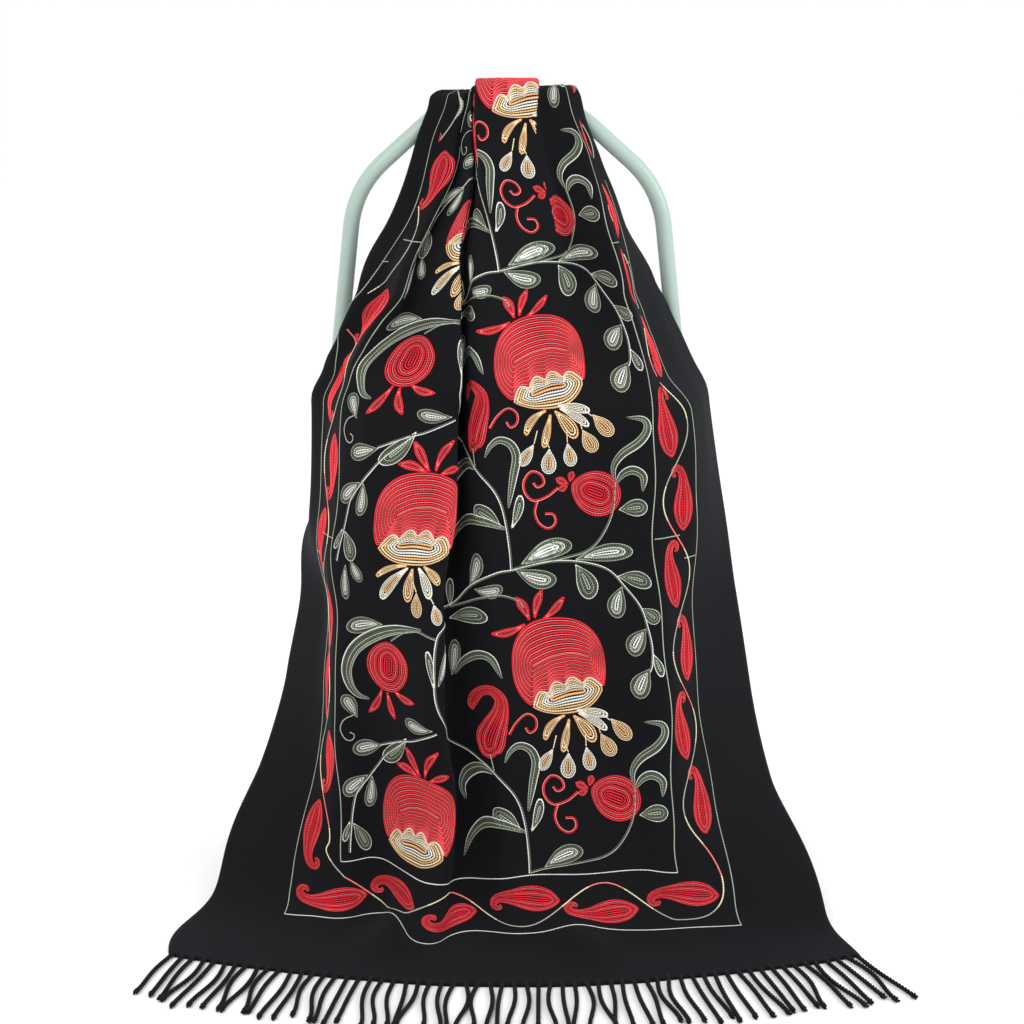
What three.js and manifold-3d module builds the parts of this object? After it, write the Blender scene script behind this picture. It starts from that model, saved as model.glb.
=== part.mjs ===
// Embroidered shawl hung over the hoop of a tube-frame step stand, falling in front to the floor.
// Millimetres, +Z up. X runs across the shawl, the front of the shawl faces -Y, the floor is z = 0.
// The cloth is one sheet. A place on it is (across, along): across is 0 at the middle of the sheet
// and along is measured from the front hem, up over the hoop and down behind to the back hem.
import * as THREE from 'three';
import { mergeVertices } from 'three/addons/utils/BufferGeometryUtils.js';
import Module from 'manifold-3d';

const wasm = await Module();
wasm.setup();

// Driving dimensions of the shawl
const CLOTH_THICKNESS = 2;
const CLOTH_LENGTH = 1760;
const CREST_ALONG = 1052;
const COLUMN_PITCH = 21;
const SECTION_STEP = 1;
const MIDDLE_OF_PLEAT = 96;

// Fringe
const STRANDS = 61;
const STRAND_WIDTH = 5;
const STRAND_HEIGHT = 4.2;
const STRAND_LENGTH = 112;
const STRAND_LENGTH_SPREAD = 9;
const STRAND_STEPS = 3;
const FRINGE_STRIP_WIDTH = 4;
const FRINGE_STRIP_HEIGHT = 2.4;
const FRINGE_GAP = 0.35;

// Tube-frame step stand
const TUBE_RADIUS = 9;
const RAIL_Z = 840;
const RAIL_CLEARANCE = 2.3;
const HOOP_X = -5;
const RAIL_HALF = 63;
const SHOULDER_HALF = 167;
const SHOULDER_Z = 747;
const UPRIGHT_HALF_AT_TREAD = 187;
const UPRIGHT_Z_AT_TREAD = 560;
const REAR_FOOT = { x: 236, y: 118 };
const FRONT_FOOT = { x: 172, y: -152 };
const FRONT_TOP = { x: 142, y: -92 };
const FRONT_BAR_Z = 489;
const FOOT_HEIGHT = 14;
const TREAD_TOP_Z = 519;
const TREAD_THICKNESS = 16;
const TREAD_HALF_WIDTH = 160;
const TREAD_FRONT_Y = -112;
const TREAD_BACK_Y = -16;
const SIDE_RAIL_RADIUS = 7;
const GAP = 0.3;

// Stations up the front of the cloth. soft is the half width of the turn at a fold line, pleatX is
// where the middle of the front pleat stands and forward is how far the section is moved out.
const STATIONS = [
  { name: 'hem', along: 0, soft: 34, pleatX: 98, forward: 0 },
  { name: 'frame', along: 125, soft: 28, pleatX: 61.7, forward: 0 },
  { name: 'skirt', along: 250, soft: 24, pleatX: 54.7, forward: 0 },
  { name: 'calf', along: 350, soft: 21, pleatX: 49.3, forward: 0 },
  { name: 'column', along: 450, soft: 18, pleatX: 42.4, forward: 0 },
  { name: 'waist', along: 560, soft: 15, pleatX: 33.5, forward: 0 },
  { name: 'corner', along: 664, soft: 13, pleatX: 29.8, forward: 0 },
  { name: 'hip', along: 697, soft: 12, pleatX: 26.8, forward: 0 },
  { name: 'brow', along: 732, soft: 12, pleatX: 24.8, forward: 0 },
  { name: 'ledge', along: 766, soft: 11, pleatX: 24.2, forward: 0 },
  { name: 'shoulder', along: 800, soft: 11, pleatX: 23.6, forward: 0 },
  { name: 'throat', along: 875, soft: 9, pleatX: 15.8, forward: 3 },
  { name: 'neck', along: 950, soft: 8, pleatX: 0.4, forward: 9 },
  { name: 'collar', along: 1008, soft: 6, pleatX: -4.7, forward: 8 },
  { name: 'crest', along: CREST_ALONG, soft: 3, pleatX: -4, forward: 0 },
];

// Strips of cloth between fold lines, from the left edge to the right
const STRIPS = [
  { name: 'left edge', width: 65 },
  { name: 'left margin', width: 30 },
  { name: 'left border', width: 58 },
  { name: 'left leaves', width: 40 },
  { name: 'left column', width: 92 },
  { name: 'valley left wall', width: 55 },
  { name: 'valley right wall', width: 56 },
  { name: 'pleat left', width: 29 },
  { name: 'front pleat', width: 69 },
  { name: 'step', width: 32 },
  { name: 'right leaves', width: 51 },
  { name: 'right border', width: 58 },
  { name: 'right margin', width: 45 },
  { name: 'right edge', width: 50 },
];

// The direction in which each strip runs at each station, in degrees in plan: 0 runs to the right,
// +90 runs away from the front and -90 runs towards it
const LOWER_TURNS = {
  'left edge': { hem: -22, frame: -28, skirt: -48, calf: -57, column: -62 },
  'left margin': { hem: -18, frame: -29, skirt: -47, calf: -64, column: -79 },
  'left border': { hem: -17, frame: -19, skirt: -61, calf: -80, column: -82 },
  'left leaves': { hem: -15, frame: 30, skirt: -2, calf: -2, column: -23 },
  'left column': { hem: -11, frame: -65, skirt: -39, calf: -45, column: -37 },
  'valley left wall': { hem: -3, frame: 69, skirt: 91, calf: 94, column: 104 },
  'valley right wall': { hem: 0, frame: -28, skirt: -54, calf: -31, column: -25 },
  'pleat left': { hem: 2, frame: 1, skirt: 9, calf: 12, column: 14 },
  'front pleat': { hem: 8, frame: 3, skirt: 2, calf: 3, column: 5 },
  'step': { hem: 15, frame: 7, skirt: -2, calf: -3, column: -2 },
  'right leaves': { hem: 13, frame: 8, skirt: -6, calf: -7, column: -5 },
  'right border': { hem: 16, frame: 5, skirt: 46, calf: 59, column: 56 },
  'right margin': { hem: 17, frame: 10, skirt: 43, calf: 49, column: 57 },
  'right edge': { hem: 24, frame: 10, skirt: 43, calf: 48, column: 56 },
};
const MIDDLE_TURNS = {
  'left edge': { waist: -104, corner: -141, hip: -142, brow: -141, ledge: -142, shoulder: -147 },
  'left margin': { waist: -61, corner: -47, hip: -37, brow: -23, ledge: -15, shoulder: -4 },
  'left border': { waist: -69, corner: -69, hip: -80, brow: -88, ledge: -82, shoulder: -71 },
  'left leaves': { waist: -41, corner: -46, hip: -27, brow: 14, ledge: 52, shoulder: 81 },
  'left column': { waist: -2, corner: 4, hip: -11, brow: -35, ledge: -41, shoulder: -45 },
  'valley left wall': { waist: 104, corner: 100, hip: 104, brow: 101, ledge: 96, shoulder: 93 },
  'valley right wall': { waist: -63, corner: -74, hip: -76, brow: -75, ledge: -74, shoulder: -75 },
  'pleat left': { waist: 13, corner: 6, hip: 13, brow: 18, ledge: 19, shoulder: 26 },
  'front pleat': { waist: 11, corner: -5, hip: 11, brow: 20, ledge: 23, shoulder: 25 },
  'step': { waist: 0, corner: -2, hip: 3, brow: 8, ledge: 18, shoulder: 35 },
  'right leaves': { waist: -4, corner: -4, hip: -7, brow: -18, ledge: -30, shoulder: -44 },
  'right border': { waist: 38, corner: 42, hip: 65, brow: 74, ledge: 81, shoulder: 80 },
  'right margin': { waist: 67, corner: 71, hip: 64, brow: 62, ledge: 62, shoulder: 65 },
  'right edge': { waist: 72, corner: 79, hip: 70, brow: 70, ledge: 70, shoulder: 72 },
};
const UPPER_TURNS = {
  'left edge': { throat: -164, neck: -180, collar: -180, crest: 0 },
  'left margin': { throat: -15, neck: -14, collar: -10, crest: 0 },
  'left border': { throat: -58, neck: -28, collar: -21, crest: 0 },
  'left leaves': { throat: 84, neck: 67, collar: 62, crest: -90 },
  'left column': { throat: -49, neck: -63, collar: -49, crest: -90 },
  'valley left wall': { throat: 85, neck: 86, collar: 79, crest: -90 },
  'valley right wall': { throat: -73, neck: -79, collar: -70, crest: -90 },
  'pleat left': { throat: -36, neck: -76, collar: -69, crest: -90 },
  'front pleat': { throat: 17, neck: 9, collar: 4, crest: 0 },
  'step': { throat: 52, neck: 55, collar: 47, crest: 90 },
  'right leaves': { throat: -41, neck: -13, collar: -18, crest: 0 },
  'right border': { throat: 66, neck: 61, collar: 42, crest: 0 },
  'right margin': { throat: 74, neck: 64, collar: 65, crest: 90 },
  'right edge': { throat: 91, neck: 94, collar: 96, crest: 90 },
};

// Share of each strip's width that still shows as a run where the cloth is gathered in. The rest
// is taken up in fine gathers. Below the hip every strip runs at its full width.
const MIDDLE_SHARES = {
  'left edge': { hip: 0.93, brow: 0.85, ledge: 0.77, shoulder: 0.7 },
  'left margin': { hip: 1, brow: 1, ledge: 1, shoulder: 1 },
  'left border': { hip: 0.94, brow: 0.88, ledge: 0.81, shoulder: 0.75 },
  'left leaves': { hip: 0.95, brow: 0.9, ledge: 0.85, shoulder: 0.8 },
  'left column': { hip: 0.94, brow: 0.88, ledge: 0.81, shoulder: 0.75 },
  'valley left wall': { hip: 0.93, brow: 0.85, ledge: 0.77, shoulder: 0.7 },
  'valley right wall': { hip: 0.93, brow: 0.85, ledge: 0.77, shoulder: 0.7 },
  'pleat left': { hip: 1, brow: 1, ledge: 1, shoulder: 1 },
  'front pleat': { hip: 1, brow: 1, ledge: 1, shoulder: 1 },
  'step': { hip: 1, brow: 1, ledge: 1, shoulder: 1 },
  'right leaves': { hip: 1, brow: 1, ledge: 1, shoulder: 1 },
  'right border': { hip: 0.9, brow: 0.8, ledge: 0.7, shoulder: 0.6 },
  'right margin': { hip: 1, brow: 1, ledge: 1, shoulder: 1 },
  'right edge': { hip: 0.88, brow: 0.75, ledge: 0.62, shoulder: 0.5 },
};
const UPPER_SHARES = {
  'left edge': { throat: 0.45, neck: 0.25, collar: 0.06, crest: 0.04 },
  'left margin': { throat: 0.9, neck: 0.8, collar: 0.72, crest: 0.67 },
  'left border': { throat: 0.62, neck: 0.5, collar: 0.33, crest: 0.25 },
  'left leaves': { throat: 0.55, neck: 0.3, collar: 0.12, crest: 0.042 },
  'left column': { throat: 0.5, neck: 0.3, collar: 0.12, crest: 0.042 },
  'valley left wall': { throat: 0.45, neck: 0.25, collar: 0.1, crest: 0.042 },
  'valley right wall': { throat: 0.45, neck: 0.25, collar: 0.1, crest: 0.042 },
  'pleat left': { throat: 0.8, neck: 0.4, collar: 0.12, crest: 0.042 },
  'front pleat': { throat: 1, neck: 0.95, collar: 0.96, crest: 0.96 },
  'step': { throat: 0.75, neck: 0.35, collar: 0.25, crest: 0.19 },
  'right leaves': { throat: 0.95, neck: 0.9, collar: 0.65, crest: 0.5 },
  'right border': { throat: 0.45, neck: 0.3, collar: 0.25, crest: 0.22 },
  'right margin': { throat: 0.6, neck: 0.25, collar: 0.1, crest: 0.05 },
  'right edge': { throat: 0.35, neck: 0.2, collar: 0.08, crest: 0.05 },
};

// Side view of the cloth at the front pleat. slope is the climb of the sheet in degrees, outward
// is the direction in which a fold stands proud: 0 to the front, 90 up and 180 to the back.
const PROFILE = [
  { along: 0, slope: 3, outward: 0 },
  { along: 60, slope: 5, outward: 0 },
  { along: 95, slope: 14, outward: 0 },
  { along: 125, slope: 30, outward: 0 },
  { along: 170, slope: 48, outward: 0 },
  { along: 240, slope: 68, outward: 0 },
  { along: 300, slope: 78, outward: 0 },
  { along: 400, slope: 82, outward: 0 },
  { along: 560, slope: 83, outward: 0 },
  { along: 664, slope: 79, outward: 0 },
  { along: 700, slope: 66, outward: 0 },
  { along: 800, slope: 60, outward: 0 },
  { along: 960, slope: 63, outward: 4 },
  { along: 1003, slope: 71, outward: 10 },
  { along: 1019, slope: 76, outward: 14 },
  { along: 1036, slope: 39, outward: 51 },
  { along: 1052, slope: 0, outward: 90 },
  { along: 1069, slope: -39, outward: 128 },
  { along: 1085, slope: -76, outward: 164 },
  { along: 1115, slope: -84, outward: 174 },
  { along: 1180, slope: -86, outward: 180 },
  { along: 1760, slope: -88, outward: 180 },
];

// How far apart the rows of the mesh are
const ROW_PITCHES = [
  { along: 0, pitch: 22 },
  { along: 100, pitch: 26 },
  { along: 250, pitch: 40 },
  { along: 560, pitch: 36 },
  { along: 640, pitch: 22 },
  { along: 740, pitch: 28 },
  { along: 900, pitch: 32 },
  { along: 990, pitch: 12 },
  { along: 1020, pitch: 8 },
  { along: 1085, pitch: 8 },
  { along: 1130, pitch: 26 },
  { along: 1300, pitch: 56 },
  { along: 1760, pitch: 60 },
];

// Soft rises and sags of the cloth where it spreads to the floor
const SWELLS = [
  { name: 'ridge left of the valley', across: -132, along: 92, reachAcross: 30, reachAlong: 38, rise: 15 },
  { name: 'sag of the valley', across: -38, along: 165, reachAcross: 52, reachAlong: 60, rise: -12 },
  { name: 'ridge under the front pleat', across: 98, along: 86, reachAcross: 26, reachAlong: 34, rise: 10 },
];

// Pleats in which the back of the cloth hangs
const BACK_PLEAT_PITCH = 104;
const BACK_PLEAT_DRIFT = 15;
const BACK_DRIFT_PITCH = 365;
const BACK_RUN = [
  { along: CREST_ALONG, swing: 60, share: 0.22, weight: 0 },
  { along: 1080, swing: 60, share: 0.24, weight: 0.1 },
  { along: 1125, swing: 78, share: 0.3, weight: 0.6 },
  { along: 1230, swing: 96, share: 0.62, weight: 1 },
  { along: 1450, swing: 97, share: 0.85, weight: 1 },
  { along: 1760, swing: 86, share: 1, weight: 1 },
];
const BACK_MIDDLE_X = 0;
const BACK_SET_OFF = 10;
const BACK_FALL = 0.04;

const radians = (degrees) => (degrees * Math.PI) / 180;
const mix = (from, to, share) => from + (to - from) * share;
const smooth = (t) => t * t * (3 - 2 * t);
const clamp01 = (t) => Math.min(Math.max(t, 0), 1);

// A curve through the points of one column of a table that never overshoots them
function column(rows, key, value) {
  const xs = rows.map((row) => row[key]);
  const ys = rows.map((row) => row[value]);
  const slopes = xs.slice(1).map((x, i) => (ys[i + 1] - ys[i]) / (x - xs[i]));
  const tangents = ys.map((y, i) => {
    if (i === 0) return slopes[0];
    if (i === ys.length - 1) return slopes[i - 1];
    const [before, after] = [slopes[i - 1], slopes[i]];
    return before * after <= 0 ? 0 : (2 * before * after) / (before + after);
  });
  return (x) => {
    const at = Math.min(Math.max(x, xs[0]), xs[xs.length - 1]);
    let i = 0;
    while (i < xs.length - 2 && at > xs[i + 1]) i += 1;
    const h = xs[i + 1] - xs[i];
    const t = (at - xs[i]) / h;
    const rise = ys[i + 1] - ys[i];
    const curve = h * (tangents[i] * t * (1 - t) ** 2 - tangents[i + 1] * t * t * (1 - t));
    return ys[i] + rise * smooth(t) + curve;
  };
}

// Fold lines, the running sum of the strips' widths
const CLOTH_WIDTH = STRIPS.reduce((sum, strip) => sum + strip.width, 0);
const FOLD_LINES = STRIPS.reduce((lines, strip) => [...lines, lines[lines.length - 1] + strip.width],
  [-CLOTH_WIDTH / 2]);

const stripRows = STRIPS.map(({ name }) => {
  const turns = { ...LOWER_TURNS[name], ...MIDDLE_TURNS[name], ...UPPER_TURNS[name] };
  const shares = { ...MIDDLE_SHARES[name], ...UPPER_SHARES[name] };
  return STATIONS.map((station) => ({
    along: station.along,
    turn: turns[station.name],
    share: shares[station.name] ?? 1,
  }));
});
const stripTurn = stripRows.map((rows) => column(rows, 'along', 'turn'));
const stripShare = stripRows.map((rows) => column(rows, 'along', 'share'));
const rowPitch = column(ROW_PITCHES, 'along', 'pitch');
const softness = column(STATIONS, 'along', 'soft');
const pleatX = column(STATIONS, 'along', 'pleatX');
const forward = column(STATIONS, 'along', 'forward');
const slopeAt = column(PROFILE, 'along', 'slope');
const outwardAt = column(PROFILE, 'along', 'outward');
const backSwing = column(BACK_RUN, 'along', 'swing');
const backShare = column(BACK_RUN, 'along', 'share');
const backWeight = column(BACK_RUN, 'along', 'weight');

// Depth and height of the front pleat for each millimetre along, with the crest over the hoop
function sideProfile() {
  const path = [{ y: 0, z: CLOTH_THICKNESS / 2 }];
  for (let along = 1; along <= CLOTH_LENGTH; along += 1) {
    const climb = radians(slopeAt(along - 0.5));
    const last = path[path.length - 1];
    path.push({ y: last.y + Math.cos(climb), z: last.z + Math.sin(climb) });
  }
  const crest = path[CREST_ALONG];
  return path.map(({ y, z }) => ({ y: y - crest.y, z }));
}
const SIDE = sideProfile();

// The section of the cloth across its width at one place along, as x and depth at each step
function section(along) {
  const front = Math.min(along, CREST_ALONG);
  const turns = stripTurn.map((turn) => turn(front));
  const shares = stripShare.map((share) => share(front));
  const soft = softness(front);
  const weight = backWeight(along);
  const steps = Math.round(CLOTH_WIDTH / SECTION_STEP);
  const points = [{ across: FOLD_LINES[0], x: 0, depth: 0 }];
  for (let i = 0; i < steps; i += 1) {
    const across = FOLD_LINES[0] + (i + 0.5) * SECTION_STEP;
    let turn = turns[0];
    let share = shares[0];
    for (let k = 1; k < STRIPS.length; k += 1) {
      const half = Math.min(soft, 0.48 * Math.min(STRIPS[k - 1].width, STRIPS[k].width));
      const t = smooth(clamp01((across - FOLD_LINES[k] + half) / (2 * half)));
      turn += (turns[k] - turns[k - 1]) * t;
      share += (shares[k] - shares[k - 1]) * t;
    }
    const drift = BACK_PLEAT_DRIFT * Math.sin((2 * Math.PI * across) / BACK_DRIFT_PITCH);
    const swing = backSwing(along) * Math.sin((2 * Math.PI * (across + drift)) / BACK_PLEAT_PITCH);
    const heading = radians(mix(turn, swing, weight));
    const run = mix(share, backShare(along), weight) * SECTION_STEP;
    const last = points[i];
    points.push({
      across: across + SECTION_STEP / 2,
      x: last.x + Math.cos(heading) * run,
      depth: last.depth - Math.sin(heading) * run,
    });
  }
  const pleat = sample(points, MIDDLE_OF_PLEAT);
  const middle = sample(points, 0);
  const shiftX = mix(pleatX(front) - pleat.x, BACK_MIDDLE_X - middle.x, weight);
  const mean = points.reduce((sum, point) => sum + point.depth, 0) / points.length;
  const shiftDepth = mix(forward(front) - pleat.depth, BACK_SET_OFF - mean, weight);
  return points.map((point) => ({
    across: point.across, x: point.x + shiftX, depth: point.depth + shiftDepth,
  }));
}

// x and depth of a section at one place across
function sample(points, across) {
  const at = (across - points[0].across) / SECTION_STEP;
  const i = Math.min(Math.max(Math.floor(at), 0), points.length - 2);
  const t = at - i;
  return {
    x: mix(points[i].x, points[i + 1].x, t),
    depth: mix(points[i].depth, points[i + 1].depth, t),
  };
}

function swell(across, along) {
  return SWELLS.reduce((sum, { across: u, along: s, reachAcross, reachAlong, rise }) => (
    sum + rise * Math.exp(-(((across - u) / reachAcross) ** 2) - ((along - s) / reachAlong) ** 2)
  ), 0);
}

// The greater of two lengths, rounded off where they meet
function softMax(a, b, roundness) {
  return (a + b + Math.hypot(a - b, roundness)) / 2;
}

// Holds a point of the cloth off the rail, which the sheet goes over and then hangs clear of
function clearRail(point, along) {
  const above = point.z - RAIL_Z;
  const least = TUBE_RADIUS + RAIL_CLEARANCE + CLOTH_THICKNESS / 2;
  if (above > 0) {
    const distance = Math.hypot(point.y, above);
    const push = softMax(distance, least, 1) / distance;
    return point.set(point.x, point.y * push, RAIL_Z + above * push);
  }
  if (along < CREST_ALONG) return point;
  return point.setY(softMax(point.y, least - above * BACK_FALL, 2));
}

// The point of the sheet's middle surface at one place
function clothPoint(points, across, along) {
  const { x, depth } = sample(points, across);
  const side = SIDE[Math.round(along)];
  const outward = radians(outwardAt(along));
  return clearRail(new THREE.Vector3(
    x,
    side.y - depth * Math.cos(outward),
    side.z + depth * Math.sin(outward) + swell(across, along) * clamp01(along / 40),
  ), along);
}

// Places across the sheet: each fold line, and evenly between two of them
function columnPlaces() {
  const places = [FOLD_LINES[0]];
  for (let k = 0; k < STRIPS.length; k += 1) {
    const count = Math.max(Math.round(STRIPS[k].width / COLUMN_PITCH), 2);
    for (let i = 1; i <= count; i += 1) places.push(mix(FOLD_LINES[k], FOLD_LINES[k + 1], i / count));
  }
  return places;
}

// Places along the sheet, closer together over the hoop and at the front hem
function rowPlaces() {
  const places = [0];
  while (places[places.length - 1] < CLOTH_LENGTH) {
    const last = places[places.length - 1];
    const left = CLOTH_LENGTH - last;
    places.push(left < 1.5 * rowPitch(last) ? CLOTH_LENGTH : Math.round(last + rowPitch(last)));
  }
  return places;
}

// A closed sheet: the middle surface moved half the thickness to each side, and its rim
function clothGeometry() {
  const across = columnPlaces();
  const along = rowPlaces();
  const middle = along.map((s) => {
    const points = section(s);
    return across.map((u) => clothPoint(points, u, s));
  });
  const rows = along.length;
  const columns = across.length;
  const normalAt = (i, j) => {
    const right = middle[i][Math.min(j + 1, columns - 1)].clone().sub(middle[i][Math.max(j - 1, 0)]);
    const up = middle[Math.min(i + 1, rows - 1)][j].clone().sub(middle[Math.max(i - 1, 0)][j]);
    return right.cross(up).normalize();
  };
  const positions = [];
  for (const sideSign of [1, -1]) {
    for (let i = 0; i < rows; i += 1) {
      for (let j = 0; j < columns; j += 1) {
        const point = middle[i][j].clone().addScaledVector(normalAt(i, j), (sideSign * CLOTH_THICKNESS) / 2);
        positions.push(point.x, point.y, Math.max(point.z, 0));
      }
    }
  }
  const layer = rows * columns;
  const at = (i, j, side) => side * layer + i * columns + j;
  const faces = [];
  const quad = (a, b, c, d) => faces.push(a, b, c, a, c, d);
  for (let i = 0; i < rows - 1; i += 1) {
    for (let j = 0; j < columns - 1; j += 1) {
      quad(at(i, j, 0), at(i, j + 1, 0), at(i + 1, j + 1, 0), at(i + 1, j, 0));
      quad(at(i, j, 1), at(i + 1, j, 1), at(i + 1, j + 1, 1), at(i, j + 1, 1));
    }
  }
  for (let i = 0; i < rows - 1; i += 1) {
    quad(at(i, 0, 1), at(i, 0, 0), at(i + 1, 0, 0), at(i + 1, 0, 1));
    quad(at(i, columns - 1, 0), at(i, columns - 1, 1), at(i + 1, columns - 1, 1), at(i + 1, columns - 1, 0));
  }
  for (let j = 0; j < columns - 1; j += 1) {
    quad(at(0, j, 1), at(0, j + 1, 1), at(0, j + 1, 0), at(0, j, 0));
    quad(at(rows - 1, j, 0), at(rows - 1, j + 1, 0), at(rows - 1, j + 1, 1), at(rows - 1, j, 1));
  }
  const geometry = new THREE.BufferGeometry();
  geometry.setAttribute('position', new THREE.Float32BufferAttribute(positions, 3));
  geometry.setIndex(faces);
  return geometry;
}

// A bar lofted through rings of points, closed at both ends
function loft(rings) {
  const sides = rings[0].length;
  const positions = rings.flat().flatMap((point) => [point.x, point.y, point.z]);
  const faces = [];
  for (let i = 0; i < rings.length - 1; i += 1) {
    for (let k = 0; k < sides; k += 1) {
      const [a, b] = [i * sides + k, i * sides + ((k + 1) % sides)];
      faces.push(a, b, b + sides, a, b + sides, a + sides);
    }
  }
  const last = (rings.length - 1) * sides;
  for (let k = 1; k < sides - 1; k += 1) {
    faces.push(0, k + 1, k);
    faces.push(last, last + k, last + k + 1);
  }
  const geometry = new THREE.BufferGeometry();
  geometry.setAttribute('position', new THREE.Float32BufferAttribute(positions, 3));
  geometry.setIndex(faces);
  return geometry;
}

function toSolid(geometry) {
  const plain = geometry.clone();
  plain.deleteAttribute('normal');
  plain.deleteAttribute('uv');
  const merged = mergeVertices(plain, 1e-4);
  return new wasm.Manifold(new wasm.Mesh({
    numProp: 3,
    vertProperties: new Float32Array(merged.attributes.position.array),
    triVerts: new Uint32Array(merged.index.array),
  }));
}

function toGeometry(solid) {
  const mesh = solid.getMesh();
  const geometry = new THREE.BufferGeometry();
  geometry.setAttribute('position', new THREE.Float32BufferAttribute(mesh.vertProperties, 3));
  geometry.setIndex([...mesh.triVerts]);
  return geometry;
}

function fuse(geometries) {
  return toGeometry(geometries.map(toSolid).reduce((whole, piece) => whole.add(piece)));
}

// An even scatter between -1 and 1 that is the same each time for the same strand
const scatter = (index, salt) => 2 * ((Math.sin(index * 12.9898 + salt * 78.233) * 43758.5453) % 1 + 1) % 2 - 1;

// The roots of the strands along one hem, with the way out of the cloth and the way along the hem
function hemRoots(along) {
  const points = section(along);
  const edge = (across) => clothPoint(points, across, along);
  const half = CLOTH_WIDTH / 2 - STRAND_WIDTH;
  return Array.from({ length: STRANDS }, (_, i) => {
    const across = mix(-half, half, i / (STRANDS - 1));
    const right = edge(Math.min(across + 3, half)).sub(edge(Math.max(across - 3, -half))).setZ(0).normalize();
    return { index: i, across, point: edge(across), right };
  });
}

// Front fringe: strands lie flat on the floor in front of the hem and fan out a little
const FAN = [
  { across: -365, lean: -14 },
  { across: -200, lean: -9 },
  { across: 0, lean: -1 },
  { across: 200, lean: 9 },
  { across: 365, lean: 22 },
];
const fanLean = column(FAN, 'across', 'lean');
const STRAND_BEND = 5;

function frontStrand({ index, across, point }) {
  const lean = radians(fanLean(across) + 3 * scatter(index, 1));
  const way = new THREE.Vector3(Math.sin(lean), -Math.cos(lean), 0);
  const side = new THREE.Vector3(-way.y, way.x, 0);
  const length = STRAND_LENGTH + STRAND_LENGTH_SPREAD * scatter(index, 2);
  const start = point.clone().setZ(0).addScaledVector(way, FRINGE_GAP + FRINGE_STRIP_WIDTH / 2);
  const bend = STRAND_BEND * scatter(index, 3);
  return loft(Array.from({ length: STRAND_STEPS + 1 }, (_, k) => {
    const t = k / STRAND_STEPS;
    const middle = start.clone().addScaledVector(way, length * t);
    middle.addScaledVector(side, bend * (Math.sin(1.6 * Math.PI * t) * (0.4 + 0.6 * t)));
    const half = (STRAND_WIDTH / 2) * (t === 1 ? 0.7 : 1);
    const left = middle.clone().addScaledVector(side, -half);
    const right = middle.clone().addScaledVector(side, half);
    return [left, right, middle.clone().setZ(STRAND_HEIGHT * (t === 1 ? 0.7 : 1))];
  }));
}

function frontFringeGeometry() {
  const roots = hemRoots(0);
  const strip = loft(roots.map(({ point, right }) => {
    const out = new THREE.Vector3(right.y, -right.x, 0);
    const near = point.clone().setZ(0).addScaledVector(out, FRINGE_GAP);
    const far = near.clone().addScaledVector(out, FRINGE_STRIP_WIDTH);
    const up = new THREE.Vector3(0, 0, FRINGE_STRIP_HEIGHT);
    return [near, near.clone().add(up), far.clone().add(up), far];
  }));
  return fuse([strip, ...roots.map(frontStrand)]);
}

// Back fringe: strands hang below the hem behind
function backStrand({ index, point, right }) {
  const out = new THREE.Vector3(-right.y, right.x, 0);
  const length = STRAND_LENGTH + STRAND_LENGTH_SPREAD * scatter(index, 4);
  const top = point.z - FRINGE_GAP - FRINGE_STRIP_WIDTH / 2;
  const bend = 2.5 * scatter(index, 5);
  return loft(Array.from({ length: STRAND_STEPS + 1 }, (_, k) => {
    const t = k / STRAND_STEPS;
    const middle = point.clone().addScaledVector(right, bend * Math.sin(1.4 * Math.PI * t)).setZ(top - length * t);
    const half = STRAND_HEIGHT / 2;
    const base = middle.clone().addScaledVector(out, -half / 2);
    return [
      base.clone().addScaledVector(right, half),
      base.clone().addScaledVector(right, -half),
      middle.clone().addScaledVector(out, half),
    ];
  }));
}

function backFringeGeometry() {
  const roots = hemRoots(CLOTH_LENGTH);
  const half = FRINGE_STRIP_HEIGHT / 2;
  const strip = loft(roots.map(({ point, right }) => {
    const out = new THREE.Vector3(-right.y, right.x, 0);
    const top = point.z - FRINGE_GAP;
    const front = point.clone().addScaledVector(out, -half);
    const rear = point.clone().addScaledVector(out, half);
    return [
      front.clone().setZ(top),
      front.clone().setZ(top - FRINGE_STRIP_WIDTH),
      rear.clone().setZ(top - FRINGE_STRIP_WIDTH),
      rear.clone().setZ(top),
    ];
  }));
  return fuse([strip, ...roots.map(backStrand)]);
}

// A round tube along a path with the same bends left and right
function tubeGeometry(points, radius, steps, sides = 8) {
  const path = new THREE.CurvePath();
  for (let i = 0; i < points.length - 1; i += 1) {
    const from = i === 0 ? points[0] : points[i].after;
    const to = i === points.length - 2 ? points[i + 1] : points[i + 1].before;
    path.add(new THREE.LineCurve3(from, to));
    if (i < points.length - 2) {
      path.add(new THREE.QuadraticBezierCurve3(to, points[i + 1].corner, points[i + 1].after));
    }
  }
  const ring = new THREE.Shape(Array.from({ length: sides }, (_, k) => {
    const angle = (2 * Math.PI * k) / sides;
    return new THREE.Vector2(radius * Math.cos(angle), radius * Math.sin(angle));
  }));
  return new THREE.ExtrudeGeometry(ring, { steps, extrudePath: path, bevelEnabled: false });
}

// A bend at a corner between two neighbours, cut back by the same reach on both sides
function bend(before, corner, after, reach) {
  return {
    corner,
    before: corner.clone().addScaledVector(before.clone().sub(corner).normalize(), reach),
    after: corner.clone().addScaledVector(after.clone().sub(corner).normalize(), reach),
  };
}

function bentTube(corners, reaches, radius, steps) {
  const bends = corners.slice(1, -1).map((corner, i) => bend(corners[i], corner, corners[i + 2], reaches[i]));
  return tubeGeometry([corners[0], ...bends, corners[corners.length - 1]], radius, steps);
}

const at = (x, y, z) => new THREE.Vector3(x, y, z);

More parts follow.
